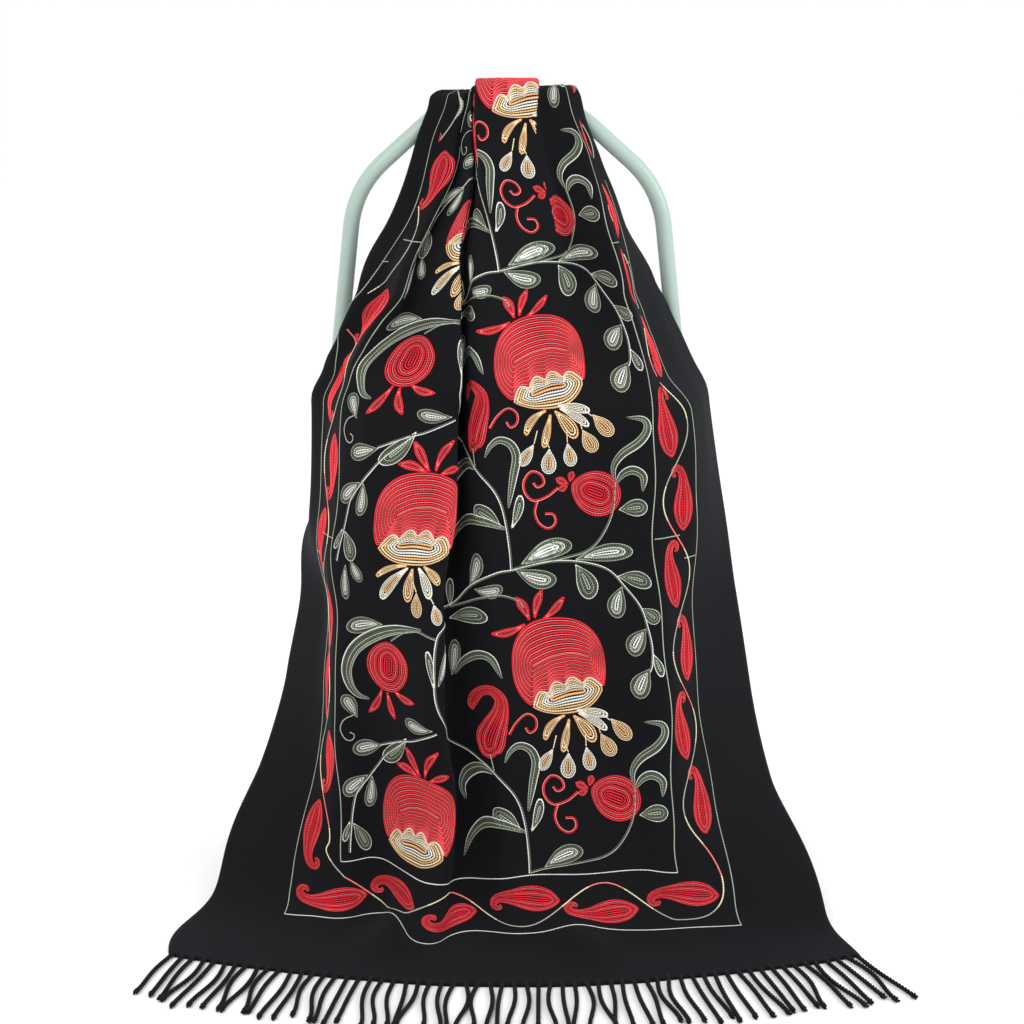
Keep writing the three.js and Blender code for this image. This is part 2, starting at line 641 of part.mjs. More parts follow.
// Both ends of a bent tube run on past the feet and are then cut level on top of them
function legTube(corners, reaches, steps) {
  const runOn = (end, next) => end.clone().addScaledVector(end.clone().sub(next).normalize(), TUBE_RADIUS);
  const last = corners.length - 1;
  const longer = [runOn(corners[0], corners[1]), ...corners.slice(1, -1),
    runOn(corners[last], corners[last - 1])];
  const tube = toSolid(bentTube(longer, reaches, TUBE_RADIUS, steps));
  return toGeometry(tube.trimByPlane([0, 0, 1], FOOT_HEIGHT));
}

function hoopGeometry() {
  const right = [
    at(REAR_FOOT.x, REAR_FOOT.y, FOOT_HEIGHT),
    at(UPRIGHT_HALF_AT_TREAD, 0, UPRIGHT_Z_AT_TREAD),
    at(SHOULDER_HALF, 0, SHOULDER_Z),
    at(RAIL_HALF, 0, RAIL_Z),
  ];
  const left = right.map((point) => at(-point.x, point.y, point.z)).reverse();
  return legTube([...right, ...left], [30, 44, 40, 40, 44, 30], 54);
}

function frontLegsGeometry() {
  const right = [at(FRONT_FOOT.x, FRONT_FOOT.y, FOOT_HEIGHT), at(FRONT_TOP.x, FRONT_TOP.y, FRONT_BAR_Z)];
  const left = right.map((point) => at(-point.x, point.y, point.z)).reverse();
  return legTube([...right, ...left], [45, 45], 26);
}

// A straight rail under one side of the tread, from the front legs' bar to the hoop
function sideRailGeometry(side) {
  const reach = TUBE_RADIUS + GAP;
  const from = at(side * (FRONT_TOP.x - 24), FRONT_TOP.y + reach, FRONT_BAR_Z);
  const treadShare = (UPRIGHT_Z_AT_TREAD - FRONT_BAR_Z) / (UPRIGHT_Z_AT_TREAD - FOOT_HEIGHT);
  const hoopX = mix(UPRIGHT_HALF_AT_TREAD, REAR_FOOT.x, treadShare);
  const hoopY = REAR_FOOT.y * treadShare;
  const way = at(side * hoopX, hoopY, FRONT_BAR_Z).sub(from);
  const to = from.clone().addScaledVector(way, 1 - (reach + 1.5) / way.length());
  return new THREE.ExtrudeGeometry(roundShape(SIDE_RAIL_RADIUS, 10), {
    steps: 1, extrudePath: new THREE.LineCurve3(from, to), bevelEnabled: false,
  });
}

function roundShape(radius, sides) {
  return new THREE.Shape(Array.from({ length: sides }, (_, k) => {
    const angle = (2 * Math.PI * k) / sides;
    return new THREE.Vector2(radius * Math.cos(angle), radius * Math.sin(angle));
  }));
}

// A tread with a straight back edge and a rounded front, eased at its edges
function treadGeometry() {
  const bevel = 3;
  const shape = new THREE.Shape();
  const half = TREAD_HALF_WIDTH - bevel;
  const back = TREAD_BACK_Y - bevel;
  const front = TREAD_FRONT_Y + bevel;
  shape.moveTo(half, back);
  shape.lineTo(-half, back);
  shape.lineTo(-half, back - 34);
  shape.bezierCurveTo(-half, front, -half * 0.62, front, 0, front);
  shape.bezierCurveTo(half * 0.62, front, half, front, half, back - 34);
  shape.closePath();
  const geometry = new THREE.ExtrudeGeometry(shape, {
    depth: TREAD_THICKNESS - 2 * bevel, bevelEnabled: true, bevelThickness: bevel, bevelSize: bevel,
    bevelSegments: 2, curveSegments: 10,
  });
  geometry.translate(0, 0, TREAD_TOP_Z - TREAD_THICKNESS + bevel);
  return geometry;
}

function footGeometry() {
  const radius = TUBE_RADIUS + 2;
  const top = FOOT_HEIGHT - GAP - 1;
  const outline = [[0, 0], [radius - 1, 0], [radius, 1], [radius, top - 1], [radius - 1, top], [0, top]];
  const geometry = new THREE.LatheGeometry(outline.map(([x, y]) => new THREE.Vector2(x, y)), 12);
  geometry.rotateX(Math.PI / 2);
  return geometry;
}

const FINISHES = {
  cloth: { color: 0x1b1c1f, roughness: 0.92, metalness: 0 },
  fringe: { color: 0x17181b, roughness: 0.95, metalness: 0 },
  paint: { color: 0xb4d6c4, roughness: 0.38, metalness: 0 },
  tread: { color: 0xb4d6c4, roughness: 0.42, metalness: 0 },
  rubber: { color: 0x2b2b2b, roughness: 0.8, metalness: 0 },
};

function piece(name, geometry, finish) {
  const mesh = new THREE.Mesh(geometry, new THREE.MeshStandardMaterial(FINISHES[finish]));
  mesh.name = name;
  return mesh;
}

const stand = new THREE.Group();
stand.add(piece('hoop', hoopGeometry(), 'paint'));
stand.add(piece('front_legs', frontLegsGeometry(), 'paint'));
stand.add(piece('side_rail_left', sideRailGeometry(-1), 'paint'));
stand.add(piece('side_rail_right', sideRailGeometry(1), 'paint'));
stand.add(piece('tread', treadGeometry(), 'tread'));
for (const [end, foot] of [['rear', REAR_FOOT], ['front', FRONT_FOOT]]) {
  for (const [sideName, side] of [['left', -1], ['right', 1]]) {
    const mesh = piece(`foot_${end}_${sideName}`, footGeometry(), 'rubber');
    mesh.position.set(side * foot.x, foot.y, 0);
    stand.add(mesh);
  }
}

const shawl = new THREE.Group();
shawl.add(piece('shawl_cloth', clothGeometry(), 'cloth'));
shawl.add(piece('fringe_front', frontFringeGeometry(), 'fringe'));
shawl.add(piece('fringe_back', backFringeGeometry(), 'fringe'));

stand.position.x = HOOP_X;
const model = new THREE.Group();
model.add(stand, shawl);

// The origin is on the floor, in the middle of the whole
const bounds = new THREE.Box3().setFromObject(model);
const middle = bounds.getCenter(new THREE.Vector3());
model.position.set(-middle.x, -middle.y, -bounds.min.z);
export default model;
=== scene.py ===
"""Looks of the embroidered shawl, its fringes and the painted stand that it hangs from."""

import logging
import math
from collections.abc import Iterable, Sequence
from dataclasses import dataclass, field
from enum import Enum
from functools import cached_property
from typing import NamedTuple

import bmesh
import bpy
import numpy as np
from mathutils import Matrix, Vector


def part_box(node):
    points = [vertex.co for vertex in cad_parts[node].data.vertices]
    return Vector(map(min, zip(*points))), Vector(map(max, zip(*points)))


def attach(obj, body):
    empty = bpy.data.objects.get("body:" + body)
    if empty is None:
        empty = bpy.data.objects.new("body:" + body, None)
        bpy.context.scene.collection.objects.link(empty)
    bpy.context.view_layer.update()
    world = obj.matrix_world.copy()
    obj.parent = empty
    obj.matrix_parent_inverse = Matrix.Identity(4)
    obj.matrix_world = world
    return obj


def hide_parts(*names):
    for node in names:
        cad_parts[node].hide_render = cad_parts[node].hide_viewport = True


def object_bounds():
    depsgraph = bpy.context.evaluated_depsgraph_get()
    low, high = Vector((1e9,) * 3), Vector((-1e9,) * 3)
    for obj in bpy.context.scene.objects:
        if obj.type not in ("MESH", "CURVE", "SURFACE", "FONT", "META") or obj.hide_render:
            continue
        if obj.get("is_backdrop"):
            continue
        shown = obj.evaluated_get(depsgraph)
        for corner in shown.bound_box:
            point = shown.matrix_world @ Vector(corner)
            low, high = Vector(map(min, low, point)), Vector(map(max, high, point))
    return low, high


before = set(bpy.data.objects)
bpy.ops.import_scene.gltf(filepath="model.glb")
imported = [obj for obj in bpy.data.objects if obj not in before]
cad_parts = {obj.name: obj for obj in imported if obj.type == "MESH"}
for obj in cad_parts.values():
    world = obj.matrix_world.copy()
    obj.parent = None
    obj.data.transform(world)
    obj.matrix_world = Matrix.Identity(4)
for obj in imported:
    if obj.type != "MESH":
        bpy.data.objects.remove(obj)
CAD_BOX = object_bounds()

log = logging.getLogger("shawl")
MM = 0.001
JOIN_REACH = 1e-6
Colour = tuple[float, float, float]


class Slot(Enum):
    """Material slots of the record."""

    WOOL = "wool"
    YARN = "fringe_yarn"
    FRAME = "frame_paint"
    TREAD = "tread_paint"
    RUBBER = "foot_rubber"


class Term:
    """One socket of a shader graph that takes part in sums like a number."""

    def __init__(self, graph: "Graph", socket: bpy.types.NodeSocket) -> None:
        """Keeps the graph and the socket."""
        self.graph = graph
        self.socket = socket

    def __add__(self, other: "Term | float") -> "Term":
        """Adds."""
        return self.graph.math("ADD", self, other)

    __radd__ = __add__

    def __sub__(self, other: "Term | float") -> "Term":
        """Takes away."""
        return self.graph.math("SUBTRACT", self, other)

    def __rsub__(self, other: float) -> "Term":
        """Takes this from a number."""
        return self.graph.math("SUBTRACT", other, self)

    def __mul__(self, other: "Term | float") -> "Term":
        """Multiplies."""
        return self.graph.math("MULTIPLY", self, other)

    def sin(self) -> "Term":
        """Sine of an angle in radians."""
        return self.graph.math("SINE", self)

    def absolute(self) -> "Term":
        """Size without the sign."""
        return self.graph.math("ABSOLUTE", self)

    def fraction(self) -> "Term":
        """What is left after the whole number."""
        return self.graph.math("FRACT", self)

    def power(self, exponent: float) -> "Term":
        """Raises to a power."""
        return self.graph.math("POWER", self, exponent)

    def held(self) -> "Term":
        """Held between 0 and 1."""
        return self.graph.math("MINIMUM", self.graph.math("MAXIMUM", self, 0.0), 1.0)


class Graph:
    """The nodes of one material."""

    def __init__(self, name: str) -> None:
        """Starts an empty material.

        Args:
            name: Name of the material.
        """
        self.material = bpy.data.materials.new(name)
        self.material.use_nodes = True
        self.tree = self.material.node_tree
        self.tree.nodes.clear()

    def node(self, kind: str, settings: dict[str, object], inputs: dict[str | int, object],
             output: str | int = 0) -> Term:
        """Adds a node.

        Args:
            kind: Type name of the node.
            settings: Properties that are set before the sockets are read.
            inputs: Values or terms for its input sockets.
            output: Output socket that the term stands for.

        Returns:
            The output as a term.
        """
        made = self.tree.nodes.new(kind)
        for name, value in settings.items():
            setattr(made, name, value)
        for name, value in inputs.items():
            if isinstance(value, Term):
                self.tree.links.new(value.socket, made.inputs[name])
            else:
                made.inputs[name].default_value = value
        return Term(self, made.outputs[output])

    def math(self, operation: str, *values: "Term | float") -> Term:
        """Adds a Math node for one operation."""
        return self.node("ShaderNodeMath", {"operation": operation}, dict(enumerate(values)))

    def mix(self, factor: "Term | float", low: "Term | Colour", high: "Term | Colour") -> Term:
        """Mixes two colours.

        Args:
            factor: 0 gives low and 1 gives high.
            low: First colour.
            high: Second colour.

        Returns:
            The mixed colour.
        """
        sides = [c if isinstance(c, Term) else (*c, 1.0) for c in (low, high)]
        inputs = {0: factor, 6: sides[0], 7: sides[1]}
        return self.node("ShaderNodeMix", {"data_type": "RGBA"}, inputs, 2)

    def noise(self, place: Term, scale: float, detail: float = 2.0, roughness: float = 0.5) -> Term:
        """Soft random values from 0 to 1.

        Args:
            place: Coordinates.
            scale: Waves in a unit of the coordinates.
            detail: Octaves.
            roughness: Weight of the finer octaves.

        Returns:
            The value.
        """
        inputs = {"Vector": place, "Scale": scale, "Detail": detail, "Roughness": roughness}
        return self.node("ShaderNodeTexNoise", {}, inputs)

    def object_place(self) -> Term:
        """Object coordinates in metres."""
        return self.node("ShaderNodeTexCoord", {}, {}, "Object")

    def uv_place(self, name: str) -> Term:
        """Coordinates of one UV map."""
        return self.node("ShaderNodeUVMap", {"uv_map": name}, {})

    def split(self, place: Term) -> tuple[Term, Term]:
        """The first two parts of a vector."""
        first = self.node("ShaderNodeSeparateXYZ", {}, {0: place})
        return first, Term(self, first.socket.node.outputs[1])

    def bump(self, height: Term, distance: float, strength: float = 1.0) -> Term:
        """A normal from a height.

        Args:
            height: Height from 0 to 1.
            distance: Depth in metres that the height stands for.
            strength: Weight of the effect.

        Returns:
            The normal.
        """
        inputs = {"Height": height, "Distance": distance, "Strength": strength}
        return self.node("ShaderNodeBump", {}, inputs)

    def surface(self, **inputs: "Term | float | Sequence[float]") -> bpy.types.Material:
        """Ends the graph in one Principled shader.

        Args:
            inputs: Socket values; an underscore stands for a space.

        Returns:
            The finished material.
        """
        named = {name.replace("_", " "): value for name, value in inputs.items()}
        shader = self.node("ShaderNodeBsdfPrincipled", {}, named)
        self.node_output(shader)
        return self.material

    def node_output(self, shader: Term) -> None:
        """Joins a shader to the material output."""
        made = self.tree.nodes.new("ShaderNodeOutputMaterial")
        self.tree.links.new(shader.socket, made.inputs["Surface"])


@dataclass(frozen=True)
class WoolTwill:
    """Fine black wool twill with a faint cool bloom."""

    name: str = "black_wool_twill"
    dark: Colour = (0.0024, 0.0025, 0.0031)
    light: Colour = (0.0064, 0.0066, 0.0082)
    rib_pitch: float = 0.0013
    rib_depth: float = 0.00022
    roughness: float = 0.86
    sheen: float = 0.028
    sheen_tint: Colour = (0.70, 0.80, 1.0)

    def material(self) -> bpy.types.Material:
        """Builds the material; its UV map holds the place on the flat cloth in metres.

        Returns:
            The material.
        """
        graph = Graph(self.name)
        place = graph.uv_place("cloth")
        across, along = graph.split(place)
        turn = 2 * math.pi / self.rib_pitch
        rib = ((across + along) * turn).sin() * 0.5 + 0.5
        yarn = (across * (turn * 2.0)).sin() * 0.5 + 0.5
        fuzz = graph.noise(place, 900.0, 3.0, 0.6)
        cloud = graph.noise(place, 7.0, 3.0, 0.5)
        height = rib * 0.6 + yarn * 0.2 + fuzz * 0.2
        tone = (rib * 0.35 + fuzz * 0.35 + cloud * 0.5 - 0.1).held()
        return graph.surface(
            Base_Color=graph.mix(tone, self.dark, self.light),
            Roughness=self.roughness + (fuzz - 0.5) * 0.12,
            Normal=graph.bump(height, self.rib_depth, 0.55),
            Specular_IOR_Level=0.10,
            Sheen_Weight=self.sheen,
            Sheen_Roughness=0.45,
            Sheen_Tint=(*self.sheen_tint, 1.0),
        )


@dataclass(frozen=True)
class WoolYarn:
    """Black twisted wool yarn of the fringe."""

    name: str = "black_wool_yarn"
    dark: Colour = (0.0022, 0.0023, 0.0029)
    light: Colour = (0.0100, 0.0104, 0.0126)

    def material(self) -> bpy.types.Material:
        """Builds the material on object coordinates.

        Returns:
            The material.
        """
        graph = Graph(self.name)
        place = graph.object_place()
        fibre = graph.noise(place, 1500.0, 3.0, 0.65)
        patch = graph.noise(place, 60.0, 2.0, 0.5)
        return graph.surface(
            Base_Color=graph.mix((fibre * 0.7 + patch * 0.4 - 0.05).held(), self.dark, self.light),
            Roughness=0.85 + (fibre - 0.5) * 0.2,
            Normal=graph.bump(fibre, 0.0003, 0.6),
            Specular_IOR_Level=0.11,
            Sheen_Weight=0.04,
            Sheen_Roughness=0.5,
            Sheen_Tint=(0.75, 0.83, 1.0, 1.0),
        )


@dataclass(frozen=True)
class SatinPaint:
    """Mint paint of the tubes and the tread."""

    name: str
    colour: Colour = (0.355, 0.462, 0.412)
    roughness: float = 0.34
    peel_depth: float = 0.00005

    def material(self) -> bpy.types.Material:
        """Builds the material on object coordinates.

        Returns:
            The material.
        """
        graph = Graph(self.name)
        place = graph.object_place()
        peel = graph.noise(place, 420.0, 2.0, 0.4)
        haze = graph.noise(place, 14.0, 3.0, 0.55)
        speck = (graph.noise(place, 260.0, 1.0) - 0.72).held() * 8.0
        dull = tuple(c * 0.9 for c in self.colour)
        warm = tuple(min(c * 1.04, 1.0) for c in self.colour)
        return graph.surface(
            Base_Color=graph.mix(speck.held() * 0.5, graph.mix(haze, dull, warm), (0.32, 0.45, 0.38)),
            Roughness=self.roughness + (haze - 0.5) * 0.14,
            Normal=graph.bump(peel, self.peel_depth, 0.4),
            Specular_IOR_Level=0.5,
            Coat_Weight=0.25,
            Coat_Roughness=0.22,
        )


@dataclass(frozen=True)
class FootRubber:
    """Dark moulded rubber of the feet."""

    name: str = "foot_rubber_dark"
    colour: Colour = (0.028, 0.028, 0.029)

    def material(self) -> bpy.types.Material:
        """Builds the material on object coordinates.

        Returns:
            The material.
        """
        graph = Graph(self.name)
        place = graph.object_place()
        grain = graph.noise(place, 1100.0, 3.0, 0.6)
        dust = (graph.noise(place, 90.0, 3.0) - 0.45).held() * 0.5
        return graph.surface(
            Base_Color=graph.mix(dust, self.colour, (0.11, 0.105, 0.10)),
            Roughness=0.72 + (grain - 0.5) * 0.2,
            Normal=graph.bump(grain, 0.0002, 0.5),
            Specular_IOR_Level=0.4,
        )


@dataclass(frozen=True)
class StudioFloor:
    """Plain pale floor."""

    name: str = "studio_floor"
    colour: Colour = (0.955, 0.955, 0.95)

    def material(self) -> bpy.types.Material:
        """Builds the material on object coordinates.

        Returns:
            The material.
        """
        graph = Graph(self.name)
        haze = graph.noise(graph.object_place(), 2.5, 3.0)
        low = tuple(c * 0.985 for c in self.colour)
        return graph.surface(
            Base_Color=graph.mix(haze, low, self.colour),
            Roughness=0.6 + haze * 0.1,
            Specular_IOR_Level=0.2,
        )


class Curve:
    """A curve through the points of a short table that never overshoots them."""

    def __init__(self, xs: Sequence[float], ys: Sequence[float]) -> None:
        """Keeps the points and works out the slope of the curve at each.

        Args:
            xs: Rising places of the points.
            ys: Values at the points.
        """
        self.xs = np.asarray(xs, float)
        self.ys = np.asarray(ys, float)
        slopes = np.diff(self.ys) / np.diff(self.xs)
        before, after = slopes[:-1], slopes[1:]
        product = before * after
        total = np.where(product > 0, before + after, 1.0)
        inner = np.where(product > 0, 2 * product / total, 0.0)
        self.tangents = np.concatenate([slopes[:1], inner, slopes[-1:]])

    def __call__(self, at: np.ndarray) -> np.ndarray:
        """Reads the curve.

        Args:
            at: Places to read it at.

        Returns:
            The values there, held at the ends.
        """
        at = np.clip(np.asarray(at, float), self.xs[0], self.xs[-1])
        i = np.clip(np.searchsorted(self.xs, at, side="left") - 1, 0, len(self.xs) - 2)
        h = self.xs[i + 1] - self.xs[i]
        t = (at - self.xs[i]) / h
        rise = self.ys[i + 1] - self.ys[i]
        bend = self.tangents[i] * t * (1 - t) ** 2 - self.tangents[i + 1] * t * t * (1 - t)
        return self.ys[i] + rise * t * t * (3 - 2 * t) + h * bend


def smooth(t: np.ndarray) -> np.ndarray:
    """Eases a share from 0 to 1."""
    t = np.clip(t, 0.0, 1.0)
    return t * t * (3 - 2 * t)


def soft_max(a: np.ndarray, b: np.ndarray, roundness: float) -> np.ndarray:
    """The greater of two lengths, rounded off where they meet."""
    return (a + b + np.hypot(a - b, roundness)) / 2


class Station(NamedTuple):
    """One place up the front of the cloth and how its 14 strips run there.

    soft is the half width of the turn at a fold line, pleat_x is where the middle of the front
    pleat stands, forward is how far the section is moved out, turns are the directions of the
    strips in degrees in plan, from left to right, and shares how much of each strip's width
    still shows as a run where the cloth is gathered.
    """

    name: str
    along: float
    soft: float
    pleat_x: float
    forward: float
    turns: tuple[float, ...]
    shares: tuple[float, ...]


class SideRow(NamedTuple):
    """One place along the side view: climb of the sheet and the way a fold stands out."""

    along: float
    slope: float
    outward: float


class BackRow(NamedTuple):
    """One place down the back: swing of the pleats, share of the width and weight of them."""

    along: float
    swing: float
    share: float
    weight: float


class Swell(NamedTuple):
    """A soft rise or sag of the cloth near the floor, in millimetres."""

    across: float
    along: float
    reach_across: float
    reach_along: float
    rise: float


WIDTHS = (65, 30, 58, 40, 92, 55, 56, 29, 69, 32, 51, 58, 45, 50)
FULL = (1,) * len(WIDTHS)

# From "frame" to "collar", turns and pleat_x are the rounded result of a least-squares fit to the
# edges and folds of the cloth, the same numbers as in the solid. The shares at "hip", "brow" and
# "ledge" are interpolated. The other numbers of this table were typed.
STATIONS = (
    Station("hem", 0, 34, 98, 0,
            (-22, -18, -17, -15, -11, -3, 0, 2, 8, 15, 13, 16, 17, 24),
            FULL),
    Station("frame", 125, 28, 61.7, 0,
            (-28, -29, -19, 30, -65, 69, -28, 1, 3, 7, 8, 5, 10, 10),
            FULL),
    Station("skirt", 250, 24, 54.7, 0,
            (-48, -47, -61, -2, -39, 91, -54, 9, 2, -2, -6, 46, 43, 43),
            FULL),
    Station("calf", 350, 21, 49.3, 0,
            (-57, -64, -80, -2, -45, 94, -31, 12, 3, -3, -7, 59, 49, 48),
            FULL),
    Station("column", 450, 18, 42.4, 0,
            (-62, -79, -82, -23, -37, 104, -25, 14, 5, -2, -5, 56, 57, 56),
            FULL),
    Station("waist", 560, 15, 33.5, 0,
            (-104, -61, -69, -41, -2, 104, -63, 13, 11, 0, -4, 38, 67, 72),
            FULL),
    Station("corner", 664, 13, 29.8, 0,
            (-141, -47, -69, -46, 4, 100, -74, 6, -5, -2, -4, 42, 71, 79),
            FULL),
    Station("hip", 697, 12, 26.8, 0,
            (-142, -37, -80, -27, -11, 104, -76, 13, 11, 3, -7, 65, 64, 70),
            (0.93, 1, 0.94, 0.95, 0.94, 0.93, 0.93, 1, 1, 1, 1, 0.9, 1, 0.88)),
    Station("brow", 732, 12, 24.8, 0,
            (-141, -23, -88, 14, -35, 101, -75, 18, 20, 8, -18, 74, 62, 70),
            (0.85, 1, 0.88, 0.9, 0.88, 0.85, 0.85, 1, 1, 1, 1, 0.8, 1, 0.75)),
    Station("ledge", 766, 11, 24.2, 0,
            (-142, -15, -82, 52, -41, 96, -74, 19, 23, 18, -30, 81, 62, 70),
            (0.77, 1, 0.81, 0.85, 0.81, 0.77, 0.77, 1, 1, 1, 1, 0.7, 1, 0.62)),
    Station("shoulder", 800, 11, 23.6, 0,
            (-147, -4, -71, 81, -45, 93, -75, 26, 25, 35, -44, 80, 65, 72),
            (0.7, 1, 0.75, 0.8, 0.75, 0.7, 0.7, 1, 1, 1, 1, 0.6, 1, 0.5)),
    Station("throat", 875, 9, 15.8, 3,
            (-164, -15, -58, 84, -49, 85, -73, -36, 17, 52, -41, 66, 74, 91),
            (0.45, 0.9, 0.62, 0.55, 0.5, 0.45, 0.45, 0.8, 1, 0.75, 0.95, 0.45, 0.6, 0.35)),
    Station("neck", 950, 8, 0.4, 9,
            (-180, -14, -28, 67, -63, 86, -79, -76, 9, 55, -13, 61, 64, 94),
            (0.25, 0.8, 0.5, 0.3, 0.3, 0.25, 0.25, 0.4, 0.95, 0.35, 0.9, 0.3, 0.25, 0.2)),
    Station("collar", 1008, 6, -4.7, 8,
            (-180, -10, -21, 62, -49, 79, -70, -69, 4, 47, -18, 42, 65, 96),
            (0.06, 0.72, 0.33, 0.12, 0.12, 0.1, 0.1, 0.12, 0.96, 0.25, 0.65, 0.25, 0.1, 0.08)),
    Station("crest", 1052, 3, -4, 0,
            (0, 0, 0, -90, -90, -90, -90, -90, 0, 90, 0, 0, 90, 90),
            (0.04, 0.67, 0.25, 0.042, 0.042, 0.042, 0.042, 0.042, 0.96, 0.19, 0.5, 0.22, 0.05, 0.05)),
)

SIDE = tuple(SideRow(*row) for row in (
    (0, 3, 0), (60, 5, 0), (95, 14, 0), (125, 30, 0), (170, 48, 0), (240, 68, 0), (300, 78, 0),
    (400, 82, 0), (560, 83, 0), (664, 79, 0), (700, 66, 0), (800, 60, 0), (960, 63, 4),
    (1003, 71, 10), (1019, 76, 14), (1036, 39, 51), (1052, 0, 90), (1069, -39, 128),
    (1085, -76, 164), (1115, -84, 174), (1180, -86, 180), (1760, -88, 180),
))

BACK = (
    BackRow(1052, 60, 0.22, 0),
    BackRow(1080, 60, 0.24, 0.1),
    BackRow(1125, 78, 0.3, 0.6),
    BackRow(1230, 96, 0.62, 1),
    BackRow(1450, 97, 0.85, 1),
    BackRow(1760, 86, 1, 1),
)

SWELLS = (
    Swell(-132, 92, 30, 38, 15),
    Swell(-38, 165, 52, 60, -12),
    Swell(98, 86, 26, 34, 10),
)


@dataclass
class Drape:
    """The draped sheet as a surface: a place across and along the cloth to a point in the room.

    Lengths here are millimetres. across is 0 in the middle of the sheet, along starts at the
    front hem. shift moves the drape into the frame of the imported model.
    """

    shift: tuple[float, float]
    width: float = 730.0
    length: float = 1760.0
    crest_along: float = 1052.0
    thickness: float = 2.0
    rail_z: float = 840.0
    rail_radius: float = 9.0
    rail_clearance: float = 2.3
    pleat_pitch: float = 104.0
    pleat_drift: float = 15.0
    drift_pitch: float = 365.0
    back_set_off: float = 10.0
    back_fall: float = 0.04
    pleat_across: float = 96.0
    step_along: float = 4.0
    points: np.ndarray = field(init=False)
    normals: np.ndarray = field(init=False)

    def __post_init__(self) -> None:
        """Works the whole surface out once on a fine grid."""
        along = np.arange(0.0, self.length + 0.01, self.step_along)
        self.points = self._grid(along)
        right = np.gradient(self.points, axis=1)
        up = np.gradient(self.points, axis=0)
        normal = np.cross(right, up)
        self.normals = normal / np.linalg.norm(normal, axis=2, keepdims=True)

    def _side(self) -> tuple[np.ndarray, np.ndarray]:
        """Depth and height of the front pleat for each millimetre along.

        Returns:
            The y and z of the path.
        """
        middles = np.arange(self.length) + 0.5
        climb = np.radians(Curve(*zip(*[(r.along, r.slope) for r in SIDE]))(middles))
        y = np.concatenate([[0.0], np.cumsum(np.cos(climb))])
        z = self.thickness / 2 + np.concatenate([[0.0], np.cumsum(np.sin(climb))])
        return y - y[int(self.crest_along)], z

    def _section(self, along: np.ndarray) -> tuple[np.ndarray, np.ndarray]:
        """Runs each cross-section of the cloth out from its strips' directions.

        Args:
            along: Places along the cloth.

        Returns:
            x and depth, one row for each place along and one column a millimetre.
        """
        front = np.minimum(along, self.crest_along)
        at = [s.along for s in STATIONS]
        turns = [Curve(at, [s.turns[k] for s in STATIONS])(front) for k in range(len(WIDTHS))]
        shares = [Curve(at, [s.shares[k] for s in STATIONS])(front) for k in range(len(WIDTHS))]
        soft = Curve(at, [s.soft for s in STATIONS])(front)[:, None]
        folds = -self.width / 2 + np.concatenate([[0.0], np.cumsum(WIDTHS)])
        across = np.arange(-self.width / 2 + 0.5, self.width / 2)
        turn = np.repeat(turns[0][:, None], len(across), 1)
        share = np.repeat(shares[0][:, None], len(across), 1)
        for k in range(1, len(WIDTHS)):
            half = np.minimum(soft, 0.48 * min(WIDTHS[k - 1], WIDTHS[k]))
            t = smooth((across[None, :] - folds[k] + half) / (2 * half))
            turn = turn + (turns[k] - turns[k - 1])[:, None] * t
            share = share + (shares[k] - shares[k - 1])[:, None] * t
        back = {n: Curve([r.along for r in BACK], [getattr(r, n) for r in BACK])(along)[:, None]
                for n in ("swing", "share", "weight")}
        weight = back["weight"]
        drift = self.pleat_drift * np.sin(2 * math.pi * across / self.drift_pitch)
        swing = back["swing"] * np.sin(2 * math.pi * (across + drift) / self.pleat_pitch)[None, :]
        heading = np.radians(turn + (swing - turn) * weight)
        run = share + (back["share"] - share) * weight
        zero = np.zeros((len(along), 1))
        x = np.concatenate([zero, np.cumsum(np.cos(heading) * run, 1)], 1)
        depth = np.concatenate([zero, -np.cumsum(np.sin(heading) * run, 1)], 1)
        pleat = int(self.width / 2 + self.pleat_across)
        middle = int(self.width / 2)
        pleat_x = Curve(at, [s.pleat_x for s in STATIONS])(front)[:, None]
        forward = Curve(at, [s.forward for s in STATIONS])(front)[:, None]
        x = x + (pleat_x - x[:, pleat:pleat + 1]) * (1 - weight) - x[:, middle:middle + 1] * weight
        mean = depth.mean(1, keepdims=True)
        depth = depth + (forward - depth[:, pleat:pleat + 1]) * (1 - weight)
        return x, depth + (self.back_set_off - mean) * weight

    def _grid(self, along: np.ndarray) -> np.ndarray:
        """Places the sections along the side view.

        Args:
            along: Places along the cloth.

        Returns:
            Points with shape (along, across, 3).
        """
        x, depth = self._section(along)
        side_y, side_z = self._side()
        outward = np.radians(Curve(*zip(*[(r.along, r.outward) for r in SIDE]))(along))[:, None]
        whole = np.arange(len(side_y))
        y = np.interp(along, whole, side_y)[:, None] - depth * np.cos(outward)
        z = np.interp(along, whole, side_z)[:, None] + depth * np.sin(outward)
        across = np.linspace(-self.width / 2, self.width / 2, x.shape[1])[None, :]
        for s in SWELLS:
            bump = ((across - s.across) / s.reach_across) ** 2
            bump = bump + ((along[:, None] - s.along) / s.reach_along) ** 2
            z = z + s.rise * np.exp(-bump) * np.clip(along / 40, 0, 1)[:, None]
        least = self.rail_radius + self.rail_clearance + self.thickness / 2
        above = z - self.rail_z
        distance = np.maximum(np.hypot(y, above), 1e-6)
        push = soft_max(distance, np.full_like(distance, least), 1.0) / distance
        over = above > 0
        behind = ~over & (along[:, None] >= self.crest_along)
        fall = soft_max(y, least - above * self.back_fall, 2.0)
        y_new = np.where(over, y * push, np.where(behind, fall, y))
        z_new = np.where(over, self.rail_z + above * push, z)
        return np.stack([x + self.shift[0], y_new + self.shift[1], z_new], 2)

